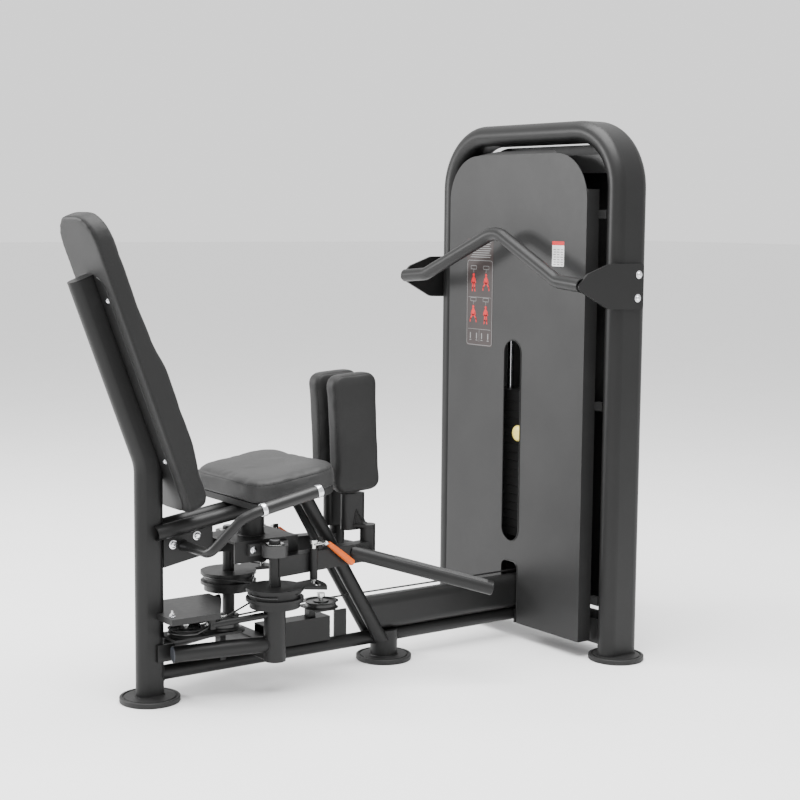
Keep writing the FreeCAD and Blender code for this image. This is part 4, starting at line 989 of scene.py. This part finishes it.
# --- Hand grips, footrests, levers, selector pin ---
@dataclass
class HandGrips:
    """Chrome collars and end caps of the two hand grips, and the grips' moulded sleeves."""

    grip_radius: float = 15.5

    def build(self) -> None:
        """Makes collars, caps and sleeves."""
        sleeves, metal = bmesh.new(), bmesh.new()
        for side in SIDES.values():
            bend, tip = mm(-386, side * 232, 506), mm(-212, side * 240, 543)
            ahead = (tip - bend).normalized()
            start = bend + ahead * 0.014
            where = facing(start, ahead)
            long = (tip - start).length / MM
            r = self.grip_radius
            body = [(13.2, 0.5), (r - 0.4, 0.5), (r, 1.2)]
            body += [(r + 0.18 * math.sin(k * math.pi), 10.0 + k * 4.0)
                     for k in range(int((long - 30) / 4) + 1)]
            body += [(r, long - 12), (r, long - 3), (r - 0.6, long - 2), (13.2, long - 2)]
            lathe(sleeves, body, where, 44)
            lathe(metal, [(12.7, -5.5), (15.2, -5.5), (16.4, -4.8), (16.9, -3.6), (16.9, 5.4), (16.4, 6.4),
                          (15.4, 6.9), (13.0, 6.9)], where, 48)
            lathe(metal, [(12.9, long - 10.0), (16.0, long - 10.0), (16.7, long - 9.2), (16.7, long + 2.8),
                          (16.2, long + 4.4), (14.8, long + 5.6), (11.0, long + 6.3), (6.0, long + 6.6),
                          (0.2, long + 6.7)], where, 48)
        put("hand_grip_sleeves", sleeves, GRIP_RUBBER, "frame", ["handle_grips"])
        put("hand_grip_collars", metal, CHROME, "frame")


@dataclass
class Footrests:
    """Anti-slip tape and end plugs of the two footrest bars."""

    radius: float = RAIL_RADIUS

    def build(self) -> None:
        """Makes a tape and a plug for each side."""
        for name, side in SIDES.items():
            start, end = mm(-14, side * 91, 339), mm(300, side * 300, 240)
            ahead = (end - start).normalized()
            across = ahead.cross(UP).normalized()
            up = across.cross(ahead)
            tape = bmesh.new()
            rows = []
            for share in [0.30 + 0.66 * k / 40 for k in range(41)]:
                centre = start.lerp(end, share)
                arc = [math.radians(-44 + 88 * k / 12) for k in range(13)]
                outer = [centre + (up * math.cos(a) + across * math.sin(a)) * (self.radius + 0.9) * MM
                         for a in arc]
                inner = [centre + (up * math.cos(a) + across * math.sin(a)) * (self.radius - 0.2) * MM
                         for a in reversed(arc)]
                rows.append(outer + inner)
            skin(tape, rows)
            put(f"footrest_tape_{name}", tape, TREAD, f"arm_{name}")
            plug = bmesh.new()
            lathe(plug, [(15.8, -8), (15.8, -0.2), (18.9, -0.1), (19.2, 0.8), (19.0, 2.2), (17.2, 4.0),
                         (12.0, 5.4), (6.0, 6.0), (0.2, 6.1)], facing(end, ahead))
            put(f"footrest_plug_{name}", plug, BLACK_PLASTIC, f"arm_{name}")


@dataclass
class StartLevers:
    """Release lever of each leg arm: plated yoke under the plunger head and a dipped grip."""

    arm_angle: float = 8.0
    along: float = 143.0
    outward: float = 25.48
    height: float = 381.7

    def build(self) -> None:
        """Makes both levers."""
        for name, side in SIDES.items():
            turn = math.radians(-side * self.arm_angle)
            ahead = Vector((math.cos(turn), math.sin(turn), 0))
            out = Vector((-ahead.y * side, ahead.x * side, 0))
            base = mm(PIVOT_X, side * PIVOT_Y, 0)

            def at(along: float, outward: float, z: float) -> Vector:
                """A point from the arm's own measures."""
                return base + (ahead * along + out * outward + Vector((0, 0, z))) * MM

            yoke = bmesh.new()
            for offset in (-9.1, 9.1):
                path = [at(self.along + dx, self.outward + offset * wide, self.height + dz)
                        for dx, dz, wide in ((-38, 0.2, 0.98), (-26, 0.1, 1.0), (-12, 0.0, 1.0),
                                             (0, 0.0, 0.95), (10, -2.5, 0.75), (18, -7.5, 0.5),
                                             (26, -13.5, 0.3))]
                sweep(yoke, smooth(path, 4), 0.0019, 10)
            pin = facing(at(self.along, self.outward - 19.0, self.height), out)
            lathe(yoke, [(0.2, 0), (2.7, 0), (3.0, 0.4), (3.0, 30.0), (4.6, 30.0), (4.8, 30.6), (4.8, 32.4),
                         (4.2, 33.0), (0.2, 33.0)], pin, 24)
            lathe(yoke, [(3.1, 7.5), (5.6, 7.5), (5.8, 8.0), (5.8, 29.0), (5.6, 29.6), (3.1, 29.6)], pin, 28)
            put(f"release_yoke_{name}", yoke, ZINC, f"lever_{name}", [f"lever_{name}"])
            grip = bmesh.new()
            near = at(self.along + 15, self.outward + 3, 377.5)
            far = at(self.along + 98, self.outward + 6, 314)
            where = facing(near, far - near)
            long = (far - near).length / MM
            profile = [(0.2, -1.0), (4.6, -0.8), (6.2, 0.6), (6.8, 3.0)]
            for k in range(33):
                share = k / 32
                belly = 7.0 + 2.1 * math.sin(math.pi * min(1.0, share * 1.15) * 0.5)
                profile.append((belly + 0.22 * math.cos(k * math.pi), 4.0 + (long - 8.0) * share))
            profile += [(8.9, long - 2.6), (7.6, long - 0.9), (4.5, long), (0.2, long + 0.2)]
            lathe(grip, profile, where, 32)
            put(f"release_grip_{name}", grip, ORANGE_GRIP, f"lever_{name}")


def smooth(path: Sequence[Vector], steps: int) -> list[Vector]:
    """A curve through points, with a few steps between each two.

    Args:
        path: the points.
        steps: steps for each span.

    Returns:
        The points of the curve.
    """
    result = []
    for i in range(len(path) - 1):
        before, a, b = path[max(i - 1, 0)], path[i], path[i + 1]
        after = path[min(i + 2, len(path) - 1)]
        for k in range(steps):
            t = k / steps
            result.append(0.5 * (2 * a + (b - before) * t + (2 * before - 5 * a + 4 * b - after) * t * t
                                 + (3 * a - before - 3 * b + after) * t ** 3))
    return [*result, path[-1].copy()]


@dataclass
class SelectorPin:
    """Weight selector: chromed pin with a round moulded knob."""

    knob_x: float = 627.0
    height: float = 602.0
    knob_radius: float = 24.0

    def build(self) -> None:
        """Makes pin and knob."""
        back = facing(mm(self.knob_x, 0, self.height), Vector((1, 0, 0)))
        r = self.knob_radius
        pin = bmesh.new()
        lathe(pin, [(5.0, 15), (8.0, 15), (8.4, 15.6), (8.4, 20.0), (8.0, 20.6), (5.0, 20.8), (5.0, 70.0),
                    (4.4, 74.0), (3.0, 76.0), (0.2, 76.0)], back, 28)
        put("selector_pin_steel", pin, CHROME, "selector_pin", ["selector_pin"])
        knob = bmesh.new()
        lathe(knob, [(0.2, 1.6), (4.0, 1.5), (4.6, 0.9), (8.0, 0.7), (r - 8.0, 1.0), (r - 3.6, 2.4),
                     (r - 1.2, 5.0), (r - 0.4, 8.5), (r - 1.0, 13.0), (r - 4.0, 16.0), (12.0, 17.5),
                     (9.0, 18.5), (0.2, 18.5)], back, 72,
              lambda turn: 0.35 * math.cos(turn * 18))
        put("selector_knob", knob, YELLOW_KNOB, "selector_pin")


# --- Front panel of the tower ---
@dataclass
class FrontPanel:
    """Folded top edge, edge trims, picture placard and small label of the front panel."""

    face: float = 610.0
    top: float = 1410.0
    corner: float = 130.0
    half: float = 306.0

    def flat(self, points: Sequence[tuple[float, float]], rise: float) -> list[Vector]:
        """Points (y, z) on the panel's face, raised from it by rise millimetres."""
        return [mm(self.face - rise, y, z) for y, z in points]

    def fold(self) -> None:
        """The top edge, folded back and up."""
        shape = bmesh.new()
        low, high = self.half - self.corner - 2, self.half - self.corner - 52
        bend = [(0.0, -3.0), (0.3, -1.2), (1.2, 0.4), (3.0, 1.4)]
        slope = [(3.0 + 32 * k / 4, 1.4 + 11 * k / 4) for k in range(1, 5)]
        rows = []
        for dx, dz in bend + slope:
            share = max(0.0, dx - 3.0) / 32
            wide = low + (high - low) * share
            rows.append([mm(self.face + dx, -wide, self.top + dz), mm(self.face + dx, wide, self.top + dz),
                         mm(self.face + dx + 1.2, wide, self.top + dz - 1.6),
                         mm(self.face + dx + 1.2, -wide, self.top + dz - 1.6)])
        skin(shape, rows)
        put("panel_top_fold", shape, PANEL_PAINT, "frame")

    def trims(self) -> None:
        """Black edge trim round the selector slot and the beam notch."""
        shape = bmesh.new()
        slot = [(38 * math.cos(t), 839 + 38 * math.sin(t)) for t in (math.pi * k / 16 for k in range(17))]
        slot += [(-y, 1162 - z) for y, z in slot]
        sweep(shape, self.flat(slot, 0.4), 0.0016, 8, closed=True)
        notch = [(-36, 60)] + [(-36, 100 + 106 * k / 6) for k in range(7)]
        notch += [(-16 - 20 * math.cos(t), 206 + 20 * math.sin(t))
                  for t in (math.pi / 2 * k / 6 for k in range(1, 7))]
        notch += [(-y, z) for y, z in reversed(notch)]
        sweep(shape, self.flat(notch, 0.4), 0.0018, 8)
        put("panel_edge_trim", shape, BLACK_PLASTIC, "frame")

    def strip(self, shape: Shape, a: tuple[float, float], b: tuple[float, float], wide: float,
              rise: float = 0.55) -> None:
        """A round-ended printed line from a to b on the panel."""
        (ay, az), (by, bz) = a, b
        heading = math.atan2(bz - az, by - ay)
        half = wide / 2
        points = [(by + half * math.cos(heading + t), bz + half * math.sin(heading + t))
                  for t in (math.radians(-90 + 30 * k) for k in range(7))]
        points += [(ay + half * math.cos(heading + t), az + half * math.sin(heading + t))
                   for t in (math.radians(90 + 30 * k) for k in range(7))]
        slab(shape, self.flat(points, rise - 0.15), mm(-0.15, 0, 0))

    def frame_line(self, shape: Shape, y: float, z: float, half_y: float, half_z: float,
                   wide: float) -> None:
        """A printed rectangle outline."""
        corners = [(y - half_y, z - half_z), (y + half_y, z - half_z), (y + half_y, z + half_z),
                   (y - half_y, z + half_z)]
        for a, b in zip(corners, corners[1:] + corners[:1]):
            self.strip(shape, a, b, wide)

    def figure(self, shape: Shape, y: float, z: float, spread: float) -> None:
        """A plain seated figure from the front, its legs apart by spread degrees."""
        head = [(y + 4.6 * math.cos(t), z + 20 + 4.6 * math.sin(t))
                for t in (math.pi / 8 * k for k in range(16))]
        slab(shape, self.flat(head, 0.4), mm(-0.15, 0, 0))
        self.strip(shape, (y, z + 11), (y, z - 2), 11)
        for side in (-1, 1):
            lean = math.radians(spread)
            hip = (y + side * 3.2, z - 4)
            knee = (hip[0] + side * 15 * math.sin(lean), hip[1] - 15 * math.cos(lean))
            self.strip(shape, hip, knee, 5.4)
            self.strip(shape, knee, (knee[0] + side * 1.0, knee[1] - 9), 4.0)
            self.strip(shape, (y + side * 6.5, z + 9), (y + side * 10.0, z - 3), 3.2)

    def placard(self) -> None:
        """The placard: four use figures in red, a row of plain marks and a block of rules above."""
        middle, half = 158.0, 59.0
        low, high = 852.0, 1103.0
        film = bmesh.new()
        outline = round_box(half + 3, low - 3, 1168, 5, 5, 0.0, 12.0)
        slab(film, self.flat([(middle + u, v) for u, v in outline], 0.05), mm(-0.25, 0, 0))
        put("placard_film", film, PLACARD_FILM, "frame")
        lines, red = bmesh.new(), bmesh.new()
        border = [(middle + u, v) for u, v in round_box(half, low, high, 8, 8, 0.0, 10.0)]
        for a, b in zip(border, border[1:] + border[:1]):
            self.strip(lines, a, b, 1.6)
        rows = (1040.0, 945.0)
        for k, z in enumerate(rows):
            for column in (-1, 1):
                y = middle + column * half / 2
                self.frame_line(lines, y, z + 42, 13, 5, 1.3)
                self.strip(lines, (y, z + 36), (y, z + 27), 1.3)
                self.figure(red, y, z, 8 if (column > 0) == (k == 0) else 42)
            self.strip(lines, (middle - half + 6, z - 46), (middle + half - 6, z - 46), 1.1)
        self.strip(lines, (middle, low + 10), (middle, 896), 1.0)
        for column in (-1.55, -0.45, 0.45, 1.55):
            y = middle + column * half / 2.2
            self.strip(lines, (y, 886), (y, 872), 4.2)
            self.strip(lines, (y - 3.5, 866), (y + 3.5, 866), 2.2)
        for k in range(8):
            self.strip(lines, (middle - half + 8 + (k % 3) * 4, 1158 - k * 6.4),
                       (middle + half - 10 - (k * 7 % 4) * 5, 1158 - k * 6.4), 2.0)
        put("placard_lines", lines, INK_GREY, "frame")
        put("placard_figures", red, INK_RED, "frame")

    def label(self) -> None:
        """The small white label with its red band and a grid of plain cells."""
        y, low, high, half = -191.0, 1096.0, 1166.0, 25.0
        film, band, cells = bmesh.new(), bmesh.new(), bmesh.new()
        slab(film, self.flat([(y + u, v) for u, v in round_box(half, low, high, 3, 3, 0.0, 12.0)], 0.05),
             mm(-0.25, 0, 0))
        corners = [(y - half, high - 11), (y + half, high - 11), (y + half, high), (y - half, high)]
        slab(band, self.flat(corners, 0.4), mm(-0.1, 0, 0))
        for row in range(7):
            for column in range(3):
                left = y - half + 4 + column * 15
                z = low + 5 + row * 7
                self.strip(cells, (left + 1, z), (left + 8 + (row * 2 + column) % 4, z), 2.4, 0.45)
        put("label_film", film, LABEL_WHITE, "frame")
        put("label_band", band, INK_RED, "frame")
        put("label_cells", cells, INK_GREY, "frame")

    def build(self) -> None:
        """Makes everything that is on the panel."""
        self.fold()
        self.trims()
        self.placard()
        self.label()


# --- Weld beads ---
def circle_section(radius: float) -> Callable[[float], tuple[float, float]]:
    """Outline of a round tube, in millimetres."""
    return lambda t: (radius * math.cos(t), radius * math.sin(t))


def oval_section(long: float, wide: float) -> Callable[[float], tuple[float, float]]:
    """Outline of a flat-oval tube, in millimetres, its long side first."""
    flat = (long - wide) / 2
    return lambda t: (wide / 2 * math.cos(t) + flat * max(-1.0, min(1.0, 3 * math.cos(t))),
                      wide / 2 * math.sin(t))


@dataclass
class Welds:
    """Weld beads where a tube meets another piece, found by following the tube's skin to that piece."""

    bead: float = 0.0024
    trees: dict = field(default_factory=dict)

    def tree(self, node: str) -> BVHTree:
        """Search tree of a CAD node."""
        if node not in self.trees:
            shape = shape_of(NODES[node].data)
            self.trees[node] = BVHTree.FromBMesh(shape)
            shape.free()
        return self.trees[node]

    def follow(self, shape: Shape, start: Vector, end: Vector, node: str,
               section: Callable[[float], tuple[float, float]],
               long_axis: Vector = Vector((1, 0, 0))) -> None:
        """Adds the bead of one tube end.

        Args:
            shape: the mesh that grows.
            start: a point on the tube's axis, away from the joint.
            end: a point beyond the joint.
            node: the piece that the tube meets.
            section: the tube's outline.
            long_axis: direction of the outline's first measure.
        """
        ahead = (end - start).normalized()
        across = (long_axis - ahead * long_axis.dot(ahead)).normalized()
        if across.length < 0.5:
            across = ahead.orthogonal().normalized()
        up = ahead.cross(across)
        hits = []
        for k in range(64):
            a, b = section(2 * math.pi * k / 64)
            outward = across * a + up * b
            origin = start + outward * MM + outward.normalized() * 0.0004
            hits.append(self.tree(node).ray_cast(origin, ahead, (end - start).length)[0])
        if None not in hits:
            self.run(shape, hits, True)
            return
        if all(hit is None for hit in hits):
            LOG.warning("no weld found on %s", node)
            return
        first = next(i for i in range(64) if hits[i] is None and hits[(i + 1) % 64] is not None)
        ordered = [hits[(first + 1 + i) % 64] for i in range(64)]
        stretch: list[Vector] = []
        for hit in [*ordered, None]:
            if hit is None:
                if len(stretch) > 5:
                    self.run(shape, stretch, False)
                stretch = []
            else:
                stretch.append(hit)

    def run(self, shape: Shape, hits: Sequence[Vector], closed: bool) -> None:
        """One rippled bead through the points."""
        path = smooth([*hits, hits[0]] if closed else hits, 3)
        if closed:
            path = path[:-1]
        sweep(shape, path, lambda i: self.bead * (0.92 + 0.14 * math.sin(i * 1.9)), 8, closed)

    def build(self) -> None:
        """Makes the beads of the frame and of each leg unit."""
        rise = math.tan(math.radians(SEAT_SLOPE))
        rail, hand, column = (circle_section(radius) for radius in (RAIL_RADIUS, HANDLE_RADIUS, 35))
        on_each_side = (
            ((-300, 30, 440 + rise * 230), (-600, 30, 440 - rise * 70), "rear_post", rail),
            ((0, 26, 284.8), (-118, 26, 484.2), "seat_rails", rail),
            ((0, 26, 284.8), (124.7, 26, 74.3), "lower_rail", rail),
            ((-400, 85, 129), (-276, 117, 132), "lower_housings", circle_section(21)),
            ((-484, 100, 398), (-484, 15, 397), "gusset_plates", hand),
            ((700, 367, 120), (700, 367, 5), "foot_discs", oval_section(120, 60)),
            ((513, 330, 1057.6), (512, 402, 1052), "handlebar_plates", rail))
        in_the_middle = (
            ((-400, 0, 68), (-600, 0, 68), "rear_post", rail),
            ((-568, 0, 60), (-568, 0, 5), "foot_discs", oval_section(75, 45)),
            ((159, 0, 40), (159, 0, 5), "foot_discs", circle_section(38)),
            ((159, 0, 30), (159, 0, 90), "lower_rail", circle_section(38)),
            ((-270, 0, 440), (-270, 0, 390), "crosshead", column),
            ((-270, 0, 420), (-270, 0, 520), "seat_rails", column))
        beads = bmesh.new()
        rows = [(side, row) for side in SIDES.values() for row in on_each_side]
        for side, (start, end, node, section) in rows + [(1, row) for row in in_the_middle]:
            self.follow(beads, mirrored(start, side), mirrored(end, side), node, section)
        put("frame_weld_beads", beads, FRAME_PAINT, "frame")
        for name, side in SIDES.items():
            for piece, body, start, end, section in (
                    ("arm", "arm", (200, 233, 271.5), (-14, 91, 339), rail),
                    ("pad_post", "pad", (22, 43, 470), (22, 43, 395), oval_section(70, 36))):
                beads = bmesh.new()
                self.follow(beads, mirrored(start, side), mirrored(end, side), f"{piece}_{name}", section)
                put(f"{piece}_weld_beads_{name}", beads, FRAME_PAINT, f"{body}_{name}")


# --- Frame pieces that keep their shape ---
CARRIED: dict[Finish, tuple[str, ...]] = {
    FRAME_PAINT: ("arm_left", "arm_right", "cam_left", "cam_right", "cross_tube", "crosshead",
                  "footrest_left", "footrest_right", "gusset_plates", "handle_tubes", "handlebar",
                  "handlebar_plates", "lower_housings", "lower_rail", "main_beam", "middle_post",
                  "pad_post_left", "pad_post_right", "pulley_brackets", "rail_clevis", "rear_post",
                  "seat_rails", "side_tubes", "struts", "top_crosshead", "tower_arch", "tower_base_beam"),
    PANEL_PAINT: ("front_panel", "side_covers", "rear_panel"),
    COVER_PAINT: ("pulley_cover_plate",),
    BLACK_PLASTIC: ("rear_post_cap",),
    FOOT_RUBBER: ("foot_discs",),
    CHROME: ("guide_rods",),
    ZINC: ("plunger_left", "plunger_right", "pulley_axles"),
    STACK_IRON: ("resting_plates", "lifted_plates", "weight_head"),
    BEARING_IRON: ("upper_bearings",),
    CABLE_JACKET: ("main_cable", "link_cables", "lift_cable"),
    NYLON: ("rear_pulley_a", "rear_pulley_b", "front_pulley", "tower_low_pulley", "tower_top_pulley"),
    BOARD: ("seat_board",),
}


def dress_frame() -> None:
    """Gives each frame piece that stays its finish."""
    for finish, names in CARRIED.items():
        for name in names:
            for material_slot in NODES[name].material_slots:
                material_slot.material = finish.material()
    known = {name for names in CARRIED.values() for name in names}
    left = [name for name, node in NODES.items() if name not in known and not node.hide_render]
    LOG.info("%d frame pieces dressed, without a finish: %s", len(known), left)


# --- Stage ---
@dataclass
class Studio:
    """Pale floor, soft light and the camera."""

    eye: Vector = field(default_factory=lambda: Vector((-2.4289, -3.6676, 1.2341)))
    heading: float = 35.7134
    dip: float = 6.4264
    roll: float = 0.5168
    lens: float = 73.78

    def camera(self) -> None:
        """Places the camera."""
        data = bpy.data.cameras.new("studio_camera")
        data.lens, data.sensor_width, data.clip_end = self.lens, 36.0, 200.0
        camera = linked("studio_camera", data)
        yaw, pitch, roll = (math.radians(a) for a in (self.heading, self.dip, self.roll))
        ahead = Vector((math.sin(yaw) * math.cos(pitch), math.cos(yaw) * math.cos(pitch), -math.sin(pitch)))
        level = Vector((math.cos(yaw), -math.sin(yaw), 0))
        upright = level.cross(ahead)
        right = level * math.cos(roll) + upright * math.sin(roll)
        up = upright * math.cos(roll) - level * math.sin(roll)
        camera.matrix_world = Matrix.Translation(self.eye) @ Matrix((right, up, -ahead)).transposed().to_4x4()
        bpy.context.scene.camera = camera

    @staticmethod
    def lamp(name: str, spot: Sequence[float], target: Sequence[float], size: float, watts: float) -> None:
        """Adds a square soft light.

        Args:
            name: its name.
            spot: where it hangs.
            target: what it points at.
            size: its side, in metres.
            watts: its power.
        """
        data = bpy.data.lights.new(name, "AREA")
        data.shape, data.size, data.energy = "SQUARE", size, watts
        lamp = linked(name, data)
        lamp.matrix_world = facing(Vector(spot), Vector(spot) - Vector(target))

    def build(self) -> None:
        """Makes floor, light and camera."""
        self.camera()
        shape = bmesh.new()
        bmesh.ops.create_grid(shape, x_segments=8, y_segments=8, size=60.0)
        mesh = mesh_of(shape, "floor")
        floor = linked("floor", mesh)
        graph = Graph("studio_floor")
        grain = graph.noise(graph.place(), 3.0, 2.0)
        graph.surface(Base_Color=graph.blend(grain, (0.86, 0.86, 0.86, 1), (0.89, 0.89, 0.89, 1)),
                      Roughness=0.6)
        mesh.materials.append(graph.material)
        world = bpy.data.worlds.new("studio_light")
        world.use_nodes = True
        sky = world.node_tree.nodes["Background"].inputs
        sky["Color"].default_value, sky["Strength"].default_value = (1, 1, 1, 1), 1.35
        bpy.context.scene.world = world
        self.lamp("key_light", (-3.6, 3.2, 1.9), (0.4, 0.0, 0.9), 1.2, 220.0)
        self.lamp("top_light", (-0.3, -0.4, 4.6), (-0.1, 0.0, 0.4), 4.0, 620.0)
        self.lamp("front_light", (-2.8, -3.6, 2.6), (0.0, 0.0, 0.7), 2.2, 14.0)


def main() -> None:
    """Builds the visual model."""
    logging.basicConfig(level=logging.INFO, format="%(name)s: %(message)s")
    Studio().build()
    Upholstery().build()
    Hardware().build()
    HandGrips().build()
    Footrests().build()
    StartLevers().build()
    SelectorPin().build()
    FrontPanel().build()
    Welds().build()
    dress_frame()


if __name__ == "__main__":
    main()
